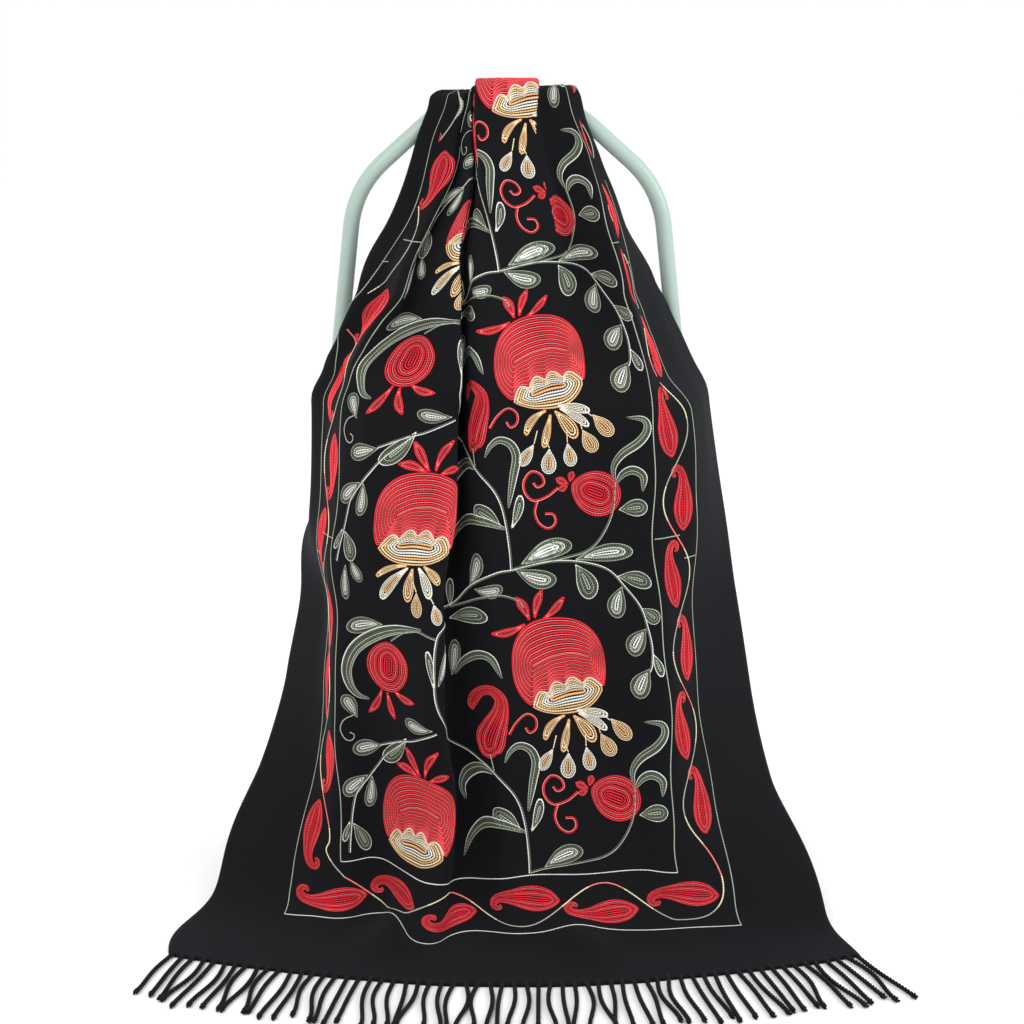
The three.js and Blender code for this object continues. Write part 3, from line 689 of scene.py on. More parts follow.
    def at(self, across: np.ndarray, along: np.ndarray, lift: float | np.ndarray = 0.0) -> np.ndarray:
        """Finds points on or above the embroidered side of the cloth.

        Args:
            across: Places across, in millimetres.
            along: Places along, in millimetres.
            lift: Height above the middle of the sheet.

        Returns:
            Points in millimetres, with one more axis than the places.
        """
        rows, columns = self.points.shape[:2]
        i = np.clip(np.asarray(along, float) / self.step_along, 0, rows - 1.001)
        j = np.clip(np.asarray(across, float) + self.width / 2, 0, columns - 1.001)
        i0, j0 = i.astype(int), j.astype(int)
        fi, fj = (i - i0)[..., None], (j - j0)[..., None]

        def blend(grid: np.ndarray) -> np.ndarray:
            """Reads a grid between its four nearest values."""
            low = grid[i0, j0] * (1 - fj) + grid[i0, j0 + 1] * fj
            high = grid[i0 + 1, j0] * (1 - fj) + grid[i0 + 1, j0 + 1] * fj
            return low * (1 - fi) + high * fi

        lifted = np.asarray(lift, float)
        lifted = lifted[..., None] if lifted.ndim else lifted
        return blend(self.points) + blend(self.normals) * lifted


def piece_from(name: str, mesh: bpy.types.Mesh, material: bpy.types.Material) -> bpy.types.Object:
    """Makes an object of a mesh, dresses it and lets it ride on the body.

    Args:
        name: Name of the piece.
        mesh: Its mesh, in metres and in place.
        material: Its material.

    Returns:
        The object.
    """
    made = bpy.data.objects.new(name, mesh)
    bpy.context.scene.collection.objects.link(made)
    mesh.materials.append(material)
    mesh.shade_smooth()
    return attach(made, "root") or made


def mesh_of(name: str, shape: bmesh.types.BMesh) -> bpy.types.Mesh:
    """Turns a finished bmesh into a mesh and frees it."""
    mesh = bpy.data.meshes.new(name)
    shape.to_mesh(mesh)
    shape.free()
    return mesh


def scatter(index: int, salt: int) -> float:
    """An even scatter between -1 and 1 that is the same each time for the same strand."""
    return 2 * ((math.sin(index * 12.9898 + salt * 78.233) * 43758.5453) % 1 + 1) % 2 - 1


class RowPitch(NamedTuple):
    """How far apart the rows of the cloth's mesh are from one place on."""

    along: float
    pitch: float


@dataclass
class Cloth:
    """The sheet of wool twill, one mesh on the drape with its real thickness."""

    drape: Drape
    finish: WoolTwill = field(default_factory=WoolTwill)
    name: str = "shawl_sheet"
    columns: int = 146
    thickness: float = 1.6
    pitches: tuple[RowPitch, ...] = (
        RowPitch(0, 7.0), RowPitch(984, 2.4), RowPitch(1130, 9.0), RowPitch(1760, 9.0))

    def rows(self) -> np.ndarray:
        """Places along the cloth of the mesh's rows."""
        spans = []
        for low, high in zip(self.pitches, self.pitches[1:]):
            count = max(round((high.along - low.along) / low.pitch), 1)
            spans.append(np.linspace(low.along, high.along, count + 1)[:-1])
        return np.concatenate([*spans, [self.pitches[-1].along]])

    def build(self) -> bpy.types.Object:
        """Lays a grid on the drape, gives it its thickness and dresses it.

        Returns:
            The piece.
        """
        rows = self.rows()
        shape = bmesh.new()
        bmesh.ops.create_grid(shape, x_segments=self.columns, y_segments=len(rows) - 1, size=0.5)
        flat = np.array([v.co[:2] for v in shape.verts]) + 0.5
        across = (flat[:, 0] - 0.5) * self.drape.width
        along = rows[np.rint(flat[:, 1] * (len(rows) - 1)).astype(int)]
        points = self.drape.at(across, along) * MM
        points[:, 2] = np.maximum(points[:, 2], self.thickness / 2 * MM)
        layer = shape.loops.layers.uv.new("cloth")
        for vert, point, u, v in zip(shape.verts, points, across, along):
            vert.co = point
            for loop in vert.link_loops:
                loop[layer].uv = ((u + self.drape.width / 2) * MM, v * MM)
        made = piece_from(self.name, mesh_of(self.name, shape), self.finish.material())
        wall = made.modifiers.new("thickness", "SOLIDIFY")
        wall.thickness = self.thickness * MM
        wall.offset = 0.0
        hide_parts("shawl_cloth")
        return made


class Hem(Enum):
    """Which hem a fringe is on."""

    FRONT = "front"
    BACK = "back"


class FanRow(NamedTuple):
    """Lean of the front strands in degrees at one place across."""

    across: float
    lean: float


@dataclass
class Fringe:
    """A row of twisted strands on one hem, each of two plies wound round each other."""

    drape: Drape
    hem: Hem
    finish: WoolYarn = field(default_factory=WoolYarn)
    strands: int = 61
    strand_width: float = 5.0
    length: float = 112.0
    length_spread: float = 9.0
    ply_radius: float = 1.72
    ply_offset: float = 0.92
    twist_pitch: float = 11.0
    step: float = 2.0
    sides: int = 5
    bury: float = 3.0
    floor_gap: float = 0.1
    rest_height: float = 2.7
    fan: tuple[FanRow, ...] = (
        FanRow(-365, -14), FanRow(-200, -9), FanRow(0, -1), FanRow(200, 9), FanRow(365, 22))

    @property
    def name(self) -> str:
        """Name of the piece."""
        return f"twisted_fringe_{self.hem.value}"

    def _front(self, index: int, across: float) -> tuple[np.ndarray, np.ndarray]:
        """Centre line of one front strand, flat on the floor.

        Args:
            index: Number of the strand.
            across: Place of its root across the cloth.

        Returns:
            Points of the line, and the two directions across it.
        """
        lean = float(Curve(*zip(*self.fan))(across)) + 3 * scatter(index, 1)
        way = np.array([math.sin(math.radians(lean)), -math.cos(math.radians(lean)), 0.0])
        side = np.array([-way[1], way[0], 0.0])
        length = self.length + self.length_spread * scatter(index, 2)
        t = np.linspace(0, 1, round(length / self.step) + 1)[:, None]
        root = self.drape.at(across, 0.0) * [1, 1, 0]
        bend = 6.5 * scatter(index, 3) * np.sin(1.6 * math.pi * t) * (0.4 + 0.6 * t)
        line = root + way * (length * t - self.bury * (1 - t)) + side * bend
        line[:, 2] = self.rest_height
        return line, np.array([side, [0.0, 0.0, 1.0]])

    def _back(self, index: int, across: float) -> tuple[np.ndarray, np.ndarray]:
        """Centre line of one strand that hangs from the back hem.

        Args:
            index: Number of the strand.
            across: Place of its root across the cloth.

        Returns:
            Points of the line, and the two directions across it.
        """
        length = self.drape.length
        root = self.drape.at(across, length)
        right = self.drape.at(across + 3, length) - self.drape.at(across - 3, length)
        right = right * [1, 1, 0] / np.hypot(right[0], right[1])
        out = np.array([-right[1], right[0], 0.0])
        length = self.length + self.length_spread * scatter(index, 4)
        t = np.linspace(0, 1, round(length / self.step) + 1)[:, None]
        bend = 2.5 * scatter(index, 5) * np.sin(1.4 * math.pi * t)
        line = root + right * bend + np.array([0, 0, 1.0]) * (self.bury * (1 - t) - length * t)
        return line, np.array([right, out])

    def build(self) -> bpy.types.Object:
        """Winds every strand and joins them in one mesh.

        Returns:
            The piece.
        """
        half = self.drape.width / 2 - self.strand_width
        points, faces, base = [], [], 0
        path = self._front if self.hem is Hem.FRONT else self._back
        around = 2 * math.pi * np.arange(self.sides) / self.sides
        for index, across in enumerate(np.linspace(-half, half, self.strands)):
            line, directions = path(index, across)
            t = np.linspace(0, 1, len(line))
            distance = t * len(line) * self.step
            knot = 1 + 0.4 * np.exp(-((t - 0.95) / 0.022) ** 2) - 0.25 * smooth((t - 0.965) / 0.035)
            loose = 1 + 0.5 * smooth((t - 0.955) / 0.045)
            for ply in range(2):
                turn = 2 * math.pi * (distance / self.twist_pitch + ply / 2) + index
                winding = np.stack([np.cos(turn), np.sin(turn)], 1) * (self.ply_offset * loose)[:, None]
                centre = line + winding @ directions
                ring = np.stack([np.cos(around), np.sin(around)], 1) @ directions
                tube = centre[:, None] + ring[None] * (self.ply_radius * knot)[:, None, None]
                tube[..., 2] = np.maximum(tube[..., 2], self.floor_gap)
                points.append(tube.reshape(-1, 3))
                faces.extend(tube_faces(len(line), self.sides, base))
                base += tube.shape[0] * self.sides
        mesh = bpy.data.meshes.new(self.name)
        mesh.from_pydata(np.concatenate(points) * MM, [], faces)
        made = piece_from(self.name, outward(mesh), self.finish.material())
        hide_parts(f"fringe_{self.hem.value}")
        return made


def tube_faces(rings: int, sides: int, base: int) -> list[tuple[int, ...]]:
    """Faces of a closed tube whose points run ring by ring.

    Args:
        rings: Number of rings.
        sides: Points in a ring.
        base: Number of the first point.

    Returns:
        The faces, with one at each end.
    """
    faces = []
    for i in range(rings - 1):
        low, high = base + i * sides, base + (i + 1) * sides
        for k in range(sides):
            faces.append((low + k, low + (k + 1) % sides, high + (k + 1) % sides, high + k))
    first = tuple(base + k for k in range(sides))
    last = tuple(base + (rings - 1) * sides + k for k in range(sides))
    return [*faces, first[::-1], last]


def outward(mesh: bpy.types.Mesh, joined: bool = False) -> bpy.types.Mesh:
    """Turns every face of a closed mesh outwards.

    Args:
        mesh: The mesh, which is changed.
        joined: Whether points that coincide are joined first.

    Returns:
        The same mesh.
    """
    shape = bmesh.new()
    shape.from_mesh(mesh)
    if joined:
        bmesh.ops.remove_doubles(shape, verts=shape.verts, dist=JOIN_REACH)
    bmesh.ops.recalc_face_normals(shape, faces=shape.faces)
    shape.to_mesh(mesh)
    shape.free()
    return mesh


@dataclass
class Stand:
    """The tube-frame step stand: hoop, front legs, side rails, tread and feet.

    Lengths are millimetres. middle is where the stand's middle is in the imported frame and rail_y
    the depth of the rail.
    """

    middle: float
    rail_y: float
    paint: SatinPaint = field(default_factory=lambda: SatinPaint("mint_tube_paint"))
    tread_paint: SatinPaint = field(
        default_factory=lambda: SatinPaint("mint_tread_paint", roughness=0.42, peel_depth=0.00009))
    rubber: FootRubber = field(default_factory=FootRubber)
    tube_radius: float = 9.0
    rail_z: float = 840.0
    rail_half: float = 63.0
    shoulder_half: float = 167.0
    shoulder_z: float = 747.0
    upright_half: float = 187.0
    upright_z: float = 560.0
    rear_foot: tuple[float, float] = (236.0, 118.0)
    front_foot: tuple[float, float] = (172.0, -152.0)
    front_top: tuple[float, float] = (142.0, -92.0)
    bar_z: float = 489.0
    foot_height: float = 14.0
    tread_top: float = 519.0
    tread_thickness: float = 16.0
    tread_half: float = 160.0
    tread_depths: tuple[float, float] = (-112.0, -16.0)
    side_rail_radius: float = 7.0

    def place(self, x: float, y: float, z: float) -> Vector:
        """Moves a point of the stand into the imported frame, in metres."""
        return Vector((x + self.middle, y + self.rail_y, z)) * MM

    def rounded(self, corners: Sequence[Vector], reaches: Sequence[float]) -> list[Vector]:
        """Rounds the corners of a path.

        Args:
            corners: Corners from one end to the other.
            reaches: How far before and after each inner corner its bend begins, in millimetres.

        Returns:
            Points along the path.
        """
        path = [corners[0]]
        for before, corner, after, reach in zip(corners, corners[1:], corners[2:], reaches):
            start = corner + (before - corner).normalized() * reach * MM
            end = corner + (after - corner).normalized() * reach * MM
            for t in np.linspace(0, 1, 13):
                path.append(start * (1 - t) ** 2 + corner * 2 * t * (1 - t) + end * t * t)
        return [*path, corners[-1]]

    def tube(self, name: str, path: Sequence[Vector], radius: float, node: str) -> bpy.types.Object:
        """Sweeps a round tube along a path and closes its ends.

        Args:
            name: Name of the piece.
            path: Points along the middle of the tube, in metres.
            radius: Radius in millimetres.
            node: The CAD node that it stands for.

        Returns:
            The piece.
        """
        line = bpy.data.curves.new(name, "CURVE")
        line.dimensions = "3D"
        line.bevel_depth = radius * MM
        line.bevel_resolution = 6
        line.use_fill_caps = True
        spline = line.splines.new("POLY")
        spline.points.add(len(path) - 1)
        for point, at in zip(spline.points, path):
            point.co = (*at, 1.0)
        carrier = bpy.data.objects.new(f"{name}_line", line)
        bpy.context.scene.collection.objects.link(carrier)
        mesh = bpy.data.meshes.new_from_object(carrier.evaluated_get(
            bpy.context.evaluated_depsgraph_get()))
        bpy.data.objects.remove(carrier)
        bpy.data.curves.remove(line)
        mesh.name = name
        mesh.materials.clear()
        made = piece_from(name, outward(mesh, joined=True), self.paint.material())
        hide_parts(node)
        return made

    def legs(self, name: str, right: Sequence[Vector], reaches: Sequence[float],
             node: str) -> bpy.types.Object:
        """Makes a bent tube that is the same left and right and stands in two feet.

        Args:
            name: Name of the piece.
            right: Points of its right half from the foot up.
            reaches: Reaches of the bends of that half.
            node: The CAD node that it stands for.

        Returns:
            The piece.
        """
        turned = Vector((2 * self.middle * MM, 0, 0))
        left = [Vector((turned.x - p.x, p.y, p.z)) for p in reversed(right)]
        path = self.rounded([*right, *left], [*reaches, *reversed(reaches)])
        return self.tube(name, path, self.tube_radius, node)

    def foot(self, end: str, side: str) -> bpy.types.Object:
        """Spins one ribbed rubber foot.

        Args:
            end: "rear" or "front".
            side: "left" or "right".

        Returns:
            The piece.
        """
        x, y = self.rear_foot if end == "rear" else self.front_foot
        radius = self.tube_radius + 2
        top = self.foot_height - 1.3
        outline = [(0, 0), (radius - 1.5, 0), (radius, 1.5), (radius, 4), (radius - 0.7, 4.6),
                   (radius, 5.2), (radius, 8), (radius - 0.7, 8.6), (radius, 9.2),
                   (radius, top - 1.2), (radius - 1.2, top), (0, top)]
        shape = bmesh.new()
        verts = [shape.verts.new((r * MM, 0, z * MM)) for r, z in outline]
        edges = [shape.edges.new(pair) for pair in zip(verts, verts[1:])]
        bmesh.ops.spin(shape, geom=verts + edges, cent=(0, 0, 0), axis=(0, 0, 1),
                       angle=2 * math.pi, steps=32, use_merge=True)
        bmesh.ops.remove_doubles(shape, verts=shape.verts, dist=JOIN_REACH)
        bmesh.ops.recalc_face_normals(shape, faces=shape.faces)
        sign = 1 if side == "right" else -1
        bmesh.ops.translate(shape, verts=shape.verts, vec=self.place(sign * x, y, 0))
        name = f"rubber_foot_{end}_{side}"
        made = piece_from(name, mesh_of(name, shape), self.rubber.material())
        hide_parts(f"foot_{end}_{side}")
        return made

    def tread(self) -> bpy.types.Object:
        """Cuts the tread, a board with a rounded front, and eases its edges.

        Returns:
            The piece.
        """
        front, back = self.tread_depths
        straight = back - 37
        outline = [(self.tread_half, back), (-self.tread_half, back), (-self.tread_half, straight)]
        for k in range(1, 28):
            angle = math.pi * (1 - k / 28)
            outline.append((self.tread_half * math.cos(angle),
                            straight + (front - straight) * math.sin(angle)))
        outline.append((self.tread_half, straight))
        shape = bmesh.new()
        low = self.tread_top - self.tread_thickness
        face = shape.faces.new([shape.verts.new(self.place(x, y, low)) for x, y in outline])
        grown = bmesh.ops.extrude_face_region(shape, geom=[face])
        tops = [g for g in grown["geom"] if isinstance(g, bmesh.types.BMVert)]
        bmesh.ops.translate(shape, verts=tops, vec=(0, 0, self.tread_thickness * MM))
        sharp = [e for e in shape.edges if abs(e.verts[0].co.z - e.verts[1].co.z) < 1e-6]
        bmesh.ops.bevel(shape, geom=sharp, offset=3 * MM, affect="EDGES", segments=4, profile=0.5,
                        material=-1)
        bmesh.ops.recalc_face_normals(shape, faces=shape.faces)
        made = piece_from("tread_board", mesh_of("tread_board", shape), self.tread_paint.material())
        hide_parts("tread")
        return made

    def side_rail(self, side: str) -> bpy.types.Object:
        """Makes the straight rail under one side of the tread.

        Args:
            side: "left" or "right".

        Returns:
            The piece.
        """
        sign = 1 if side == "right" else -1
        share = (self.upright_z - self.bar_z) / (self.upright_z - self.foot_height)
        hoop_x = self.upright_half + (self.rear_foot[0] - self.upright_half) * share
        start = self.place(sign * (self.front_top[0] - 24), self.front_top[1], self.bar_z)
        end = self.place(sign * hoop_x, self.rear_foot[1] * share, self.bar_z)
        name = f"tread_rail_{side}"
        return self.tube(name, [start, end], self.side_rail_radius, f"side_rail_{side}")

    def build(self) -> list[bpy.types.Object]:
        """Builds every part of the stand.

        Returns:
            The pieces.
        """
        inside = 4.0
        hoop = [
            self.place(*self.rear_foot, inside),
            self.place(self.upright_half, 0, self.upright_z),
            self.place(self.shoulder_half, 0, self.shoulder_z),
            self.place(self.rail_half, 0, self.rail_z),
        ]
        front = [self.place(*self.front_foot, inside), self.place(*self.front_top, self.bar_z)]
        made = [
            self.legs("hoop_tube", hoop, [30, 44, 40], "hoop"),
            self.legs("front_leg_tube", front, [45], "front_legs"),
            self.side_rail("left"),
            self.side_rail("right"),
            self.tread(),
        ]
        made += [self.foot(end, side) for end in ("rear", "front") for side in ("left", "right")]
        return made


class Thread(Enum):
    """Colours of embroidery thread: a name, a shaded tone and a bright tone."""

    CRIMSON = ("crimson", (0.120, 0.001, 0.004), (0.960, 0.020, 0.046))
    # Coral is the red of the vine; the thin coral rows between crimson rows are painted highlights
    # along the crimson rows' edges.
    CORAL_AND_HIGHLIGHT = ("coral", (0.620, 0.062, 0.060), (1.000, 0.290, 0.250))
    ORANGE = ("orange", (0.400, 0.160, 0.045), (0.920, 0.540, 0.250))
    CREAM = ("cream", (0.460, 0.370, 0.180), (0.950, 0.860, 0.600))
    WHITE = ("white", (0.360, 0.360, 0.330), (0.940, 0.940, 0.900))
    OLIVE = ("olive", (0.018, 0.024, 0.015), (0.135, 0.162, 0.104))
    PALE = ("pale", (0.090, 0.108, 0.078), (0.480, 0.540, 0.420))


@dataclass(frozen=True)
class ChainThread:
    """Twisted thread laid in chain stitches."""

    thread: Thread
    roughness: float = 0.52
    stitch_depth: float = 0.0005

    @property
    def name(self) -> str:
        """Name of the material."""
        return f"chain_stitch_{self.thread.value[0]}"

    def material(self) -> bpy.types.Material:
        """Builds the material; its UV map runs across a row and along it in stitches.

        Returns:
            The material.
        """
        graph = Graph(self.name)
        across, along = graph.split(graph.uv_place("stitch"))
        off_middle = (across - 0.5).absolute()
        # Painted shade: each row is painted darker at its feet, where it meets the next row, and
        # lighter along its ridge; the same profile raises the ridge in the bump.
        ridge_and_foot_shade = ((1.0 - off_middle * 2.0) * 1.7 + 0.12).held()
        # Painted shade and highlight: each stitch is painted darker at its joints and lighter on its
        # belly; the same loop shapes the bump.
        loop = ((along + off_middle * 0.4).fraction() * math.pi).sin().power(0.5)
        fibre = graph.noise(graph.object_place(), 2600.0, 2.0, 0.6)
        lot = graph.noise(graph.object_place(), 55.0, 2.0, 0.5)
        tone = ridge_and_foot_shade * (loop * 0.46 + 0.36) + fibre * 0.26 + (lot - 0.5) * 0.5 - 0.09
        height = loop * 0.7 + ridge_and_foot_shade * 0.15 + fibre * 0.15
        return graph.surface(
            Base_Color=graph.mix(tone.held(), self.thread.value[1], self.thread.value[2]),
            Roughness=self.roughness + (fibre - 0.5) * 0.2,
            Normal=graph.bump(height, self.stitch_depth, 0.6),
            Specular_IOR_Level=0.2,
            Sheen_Weight=0.04,
            Sheen_Roughness=0.35,
        )


class Share(NamedTuple):
    """One ring of rows in a filling: its thread and its share of the way to the middle."""

    thread: Thread
    share: float


class Filling(Enum):
    """How a shape is filled with rows, from its edge to its middle."""

    LEAF_WHITE = (Share(Thread.PALE, 0.13), Share(Thread.OLIVE, 0.15), Share(Thread.OLIVE, 0.15),
                  Share(Thread.WHITE, 0.13), Share(Thread.PALE, 0.16), Share(Thread.WHITE, 0.28))
    LEAF_DARK = (Share(Thread.WHITE, 0.13), Share(Thread.OLIVE, 0.16), Share(Thread.OLIVE, 0.16),
                 Share(Thread.PALE, 0.13), Share(Thread.OLIVE, 0.18), Share(Thread.PALE, 0.24))
    LEAF_SLIM = (Share(Thread.WHITE, 0.30), Share(Thread.OLIVE, 0.35), Share(Thread.PALE, 0.35))
    # In the red fillings the thin coral rows between the crimson ones are painted highlights along the
    # crimson rows' edges.
    RED = (Share(Thread.CRIMSON, 0.17), Share(Thread.CORAL_AND_HIGHLIGHT, 0.08), Share(Thread.CRIMSON, 0.17),
           Share(Thread.CRIMSON, 0.15), Share(Thread.CORAL_AND_HIGHLIGHT, 0.08), Share(Thread.CRIMSON, 0.17),
           Share(Thread.CRIMSON, 0.18))
    RED_RINGS = (Share(Thread.CRIMSON, 0.12), Share(Thread.CORAL_AND_HIGHLIGHT, 0.06), Share(Thread.CRIMSON, 0.12),
                 Share(Thread.CORAL_AND_HIGHLIGHT, 0.05), Share(Thread.CRIMSON, 0.12), Share(Thread.CRIMSON, 0.11),
                 Share(Thread.CORAL_AND_HIGHLIGHT, 0.06), Share(Thread.CRIMSON, 0.12), Share(Thread.CRIMSON, 0.12),
                 Share(Thread.CRIMSON, 0.12))
    RED_PETAL = (Share(Thread.CRIMSON, 0.40), Share(Thread.CORAL_AND_HIGHLIGHT, 0.22), Share(Thread.CRIMSON, 0.38))
    GOLD = (Share(Thread.ORANGE, 0.34), Share(Thread.CREAM, 0.33), Share(Thread.ORANGE, 0.33))
    SILVER = (Share(Thread.WHITE, 0.36), Share(Thread.CREAM, 0.30), Share(Thread.WHITE, 0.34))
    SEED_GOLD = (Share(Thread.CREAM, 0.20), Share(Thread.ORANGE, 0.26), Share(Thread.CREAM, 0.22),
                 Share(Thread.ORANGE, 0.32))
    SEED_SILVER = (Share(Thread.WHITE, 0.26), Share(Thread.CREAM, 0.20), Share(Thread.WHITE, 0.20),
                   Share(Thread.ORANGE, 0.34))
    OPENING = (Share(Thread.ORANGE, 0.13), Share(Thread.CREAM, 0.14), Share(Thread.ORANGE, 0.13),
               Share(Thread.CREAM, 0.13), Share(Thread.WHITE, 0.14), Share(Thread.WHITE, 0.13),
               Share(Thread.ORANGE, 0.20))


class Change(NamedTuple):
    """How one copy of a motif differs from the others: a shift, and a fold that covers a part.

    The motif is every row of the first copy whose middle is between low and high. The line of
    the fold goes through the place, leans by lean millimetres across for each one along, and
    covers what is beyond it: on the right where side is 1, on the left where it is -1.
    """

    cell: int
    low: tuple[float, float]
    high: tuple[float, float]
    shift: tuple[float, float]
    place: tuple[float, float]
    lean: float
    side: int

    def covers(self, places: np.ndarray) -> np.ndarray:
        """Tells which places are under the fold."""
        line = self.place[0] + self.lean * (places[:, 1] - self.place[1])
        return (places[:, 0] - line) * self.side > 0


class Stitches(NamedTuple):
    """One row of stitches on the flat cloth: its line, its width at each point and its height."""

    thread: Thread
    line: np.ndarray
    width: np.ndarray
    closed: bool
    level: float = 0.0
    cover: Change | None = None


class Shape(NamedTuple):
    """A closed outline on the flat cloth and the point inside that each of its points faces.

    calm is the outline without its scallops, which inner rows follow more and more.
    """

    outline: np.ndarray
    anchors: np.ndarray
    calm: np.ndarray | None = None

    def rows(self, filling: Filling | Sequence[Share], level: float = 0.0) -> list[Stitches]:
        """Fills the shape with rings of rows from the edge to the middle.

        Args:
            filling: Threads and shares of the rings.
            level: Extra height of the rows in millimetres.

        Returns:
            The rows.
        """
        shares = filling.value if isinstance(filling, Filling) else filling
        calm = self.outline if self.calm is None else self.calm
        reach, wave = calm - self.anchors, self.outline - calm
        far = np.linalg.norm(reach, axis=1)
        made, done = [], 0.0
        for ring in shares:
            middle = 1 - done - ring.share / 2
            width = np.clip(far * ring.share * 0.84, 0.35, 3.4)
            line = self.anchors + reach * middle + wave * middle ** 5
            made.append(Stitches(ring.thread, line, width, True, level))
            done += ring.share
        return made


def spline(points: Sequence[Sequence[float]], step: float = 2.5) -> np.ndarray:
    """A smooth line through points, with even steps.

    Args:
        points: Places to go through, with any number of values each.
        step: Length of a step in millimetres, measured on the first two values.

    Returns:
        The points of the line.
    """
    p = np.asarray(points, float)
    if len(p) == 2:
        fine = p[0] + (p[1] - p[0]) * np.linspace(0, 1, 24)[:, None]
    else:
        ends = np.concatenate([[2 * p[0] - p[1]], p, [2 * p[-1] - p[-2]]])
        t = np.linspace(0, 1, 12, endpoint=False)[:, None]
        parts = []
        for a, b, c, d in zip(ends, ends[1:], ends[2:], ends[3:]):
            bent = (2 * a - 5 * b + 4 * c - d) * t ** 2 + (3 * b - a - 3 * c + d) * t ** 3
            parts.append(0.5 * (2 * b + (c - a) * t + bent))
        fine = np.concatenate([*parts, p[-1:]])
    run = np.concatenate([[0], np.cumsum(np.linalg.norm(np.diff(fine[:, :2], axis=0), axis=1))])
    at = np.linspace(0, run[-1], max(round(run[-1] / step), 3) + 1)
    return np.stack([np.interp(at, run, column) for column in fine.T], 1)


def sideways(line: np.ndarray, closed: bool = False) -> np.ndarray:
    """Unit directions to the left of a line on the flat cloth."""
    way = np.roll(line, -1, 0) - np.roll(line, 1, 0) if closed else np.gradient(line, axis=0)
    way = way / np.maximum(np.linalg.norm(way, axis=1, keepdims=True), 1e-9)
    return np.stack([-way[:, 1], way[:, 0]], 1)


def drop(base: Sequence[float], tip: Sequence[float], width: float, bow: float = 0.0,
         fat: float = 0.64, rounded: bool = True, slimness: float = 1.2,
         step: float = 2.4) -> Shape:
    """A leaf, petal or seed between two points.

    Args:
        base: Its stalk end.
        tip: Its far end.
        width: Greatest width.
        bow: How far its middle line bows to the left.
        fat: Where it is widest, from 0 at the base to 1 at the tip.
        rounded: Whether the far end is round; otherwise it is pointed.
        slimness: How thin it stays near its base.
        step: Length of a step of the outline.

    Returns:
        The shape.
    """
    start, end = np.asarray(base, float), np.asarray(tip, float)
    length = float(np.linalg.norm(end - start))
    ahead = (end - start) / length
    left = np.array([-ahead[1], ahead[0]])
    turn = np.linspace(0, 2 * math.pi, max(round(2.3 * length / step), 12), endpoint=False)
    t = (1 - np.cos(turn)) / 2
    rising = np.sin(math.pi / 2 * np.clip(t / fat, 0, 1)) ** slimness
    over = np.clip((t - fat) / (1 - fat), 0, 1)
    cap = np.sqrt(np.maximum(1 - over ** 2, 0)) if rounded else 1 - over ** 1.5
    half = width / 2 * np.where(t < fat, rising, cap)

    def middle(s: np.ndarray) -> np.ndarray:
        """Middle line of the shape."""
        return start + ahead * (s * length)[:, None] + left * (bow * 4 * s * (1 - s))[:, None]

    outline = middle(t) + left * (half * np.sign(np.sin(turn)))[:, None]
    return Shape(outline, middle(np.clip(t, min(0.34, fat - 0.14), fat + 0.08)))


def ribbon_shape(points: Sequence[Sequence[float]], low: float = 0.1, high: float = 0.94,
                 step: float = 2.4) -> Shape:
    """A bent shape along a middle line, such as a paisley.

    Args:
        points: Rows of across, along and width.
        low: Where the innermost row starts, as a share of the line.
        high: Where it ends.
        step: Length of a step.

    Returns:
        The shape.
    """
    line = spline(points, step)
    middle, width = line[:, :2], np.maximum(line[:, 2], 0.3)
    left = sideways(middle) * (width / 2)[:, None]
    count = len(line) - 1
    inside = middle[np.clip(np.arange(count + 1), round(low * count), round(high * count))]
    outline = np.concatenate([middle + left, (middle - left)[::-1]])
    return Shape(outline, np.concatenate([inside, inside[::-1]]))


def stem(points: Sequence[Sequence[float]], threads: Sequence[Thread], row_width: float = 1.5,
         level: float = 0.25) -> list[Stitches]:
    """Rows side by side along a line.

    Args:
        points: Places along the stem.
        threads: One thread for each row, from left to right.
        row_width: Width of a row.
        level: Extra height.

    Returns:
        The rows.
    """
    line = spline(points)
    left = sideways(line)
    made = []
    for k, thread in enumerate(threads):
        off = ((len(threads) - 1) / 2 - k) * row_width
        width = np.full(len(line), row_width * 0.95)
        made.append(Stitches(thread, line + left * off, width, False, level))
    return made


def band(points: Sequence[Sequence[float]], threads: Sequence[Thread], width: float,
         level: float = 0.3) -> list[Stitches]:
    """A long hooked leaf: rows side by side that swell and run out to a point.

    Args:
        points: Places along its middle, from the stalk to the tip.
        threads: One thread for each row, from left to right.
        width: Greatest width.
        level: Extra height.

    Returns:
        The rows.
    """
    line = spline(points)
    left = sideways(line)
    t = np.linspace(0, 1, len(line))
    full = width * np.maximum(np.sin(math.pi * np.clip(0.02 + 0.97 * t, 0, 1)) ** 0.7, 0.06)
    share = full / len(threads)
    made = []
    for k, thread in enumerate(threads):
        off = ((len(threads) - 1) / 2 - k) * share
        made.append(Stitches(thread, line + left * off[:, None], share * 0.95, False, level))
    return made


class Placed(NamedTuple):
    """A leaf, petal, seed or small fruit: from its base to its tip, its width and its filling."""

    base: tuple[float, float]
    tip: tuple[float, float]
    width: float
    filling: Filling
    bow: float = 0.0
    fat: float = 0.64
    slimness: float = 1.2

    def rows(self, level: float = 0.0) -> list[Stitches]:
        """Its rows; only red petals are pointed."""
        rounded = self.filling is not Filling.RED_PETAL
        shape = drop(self.base, self.tip, self.width, self.bow, self.fat, rounded, self.slimness)
        return shape.rows(self.filling, level)


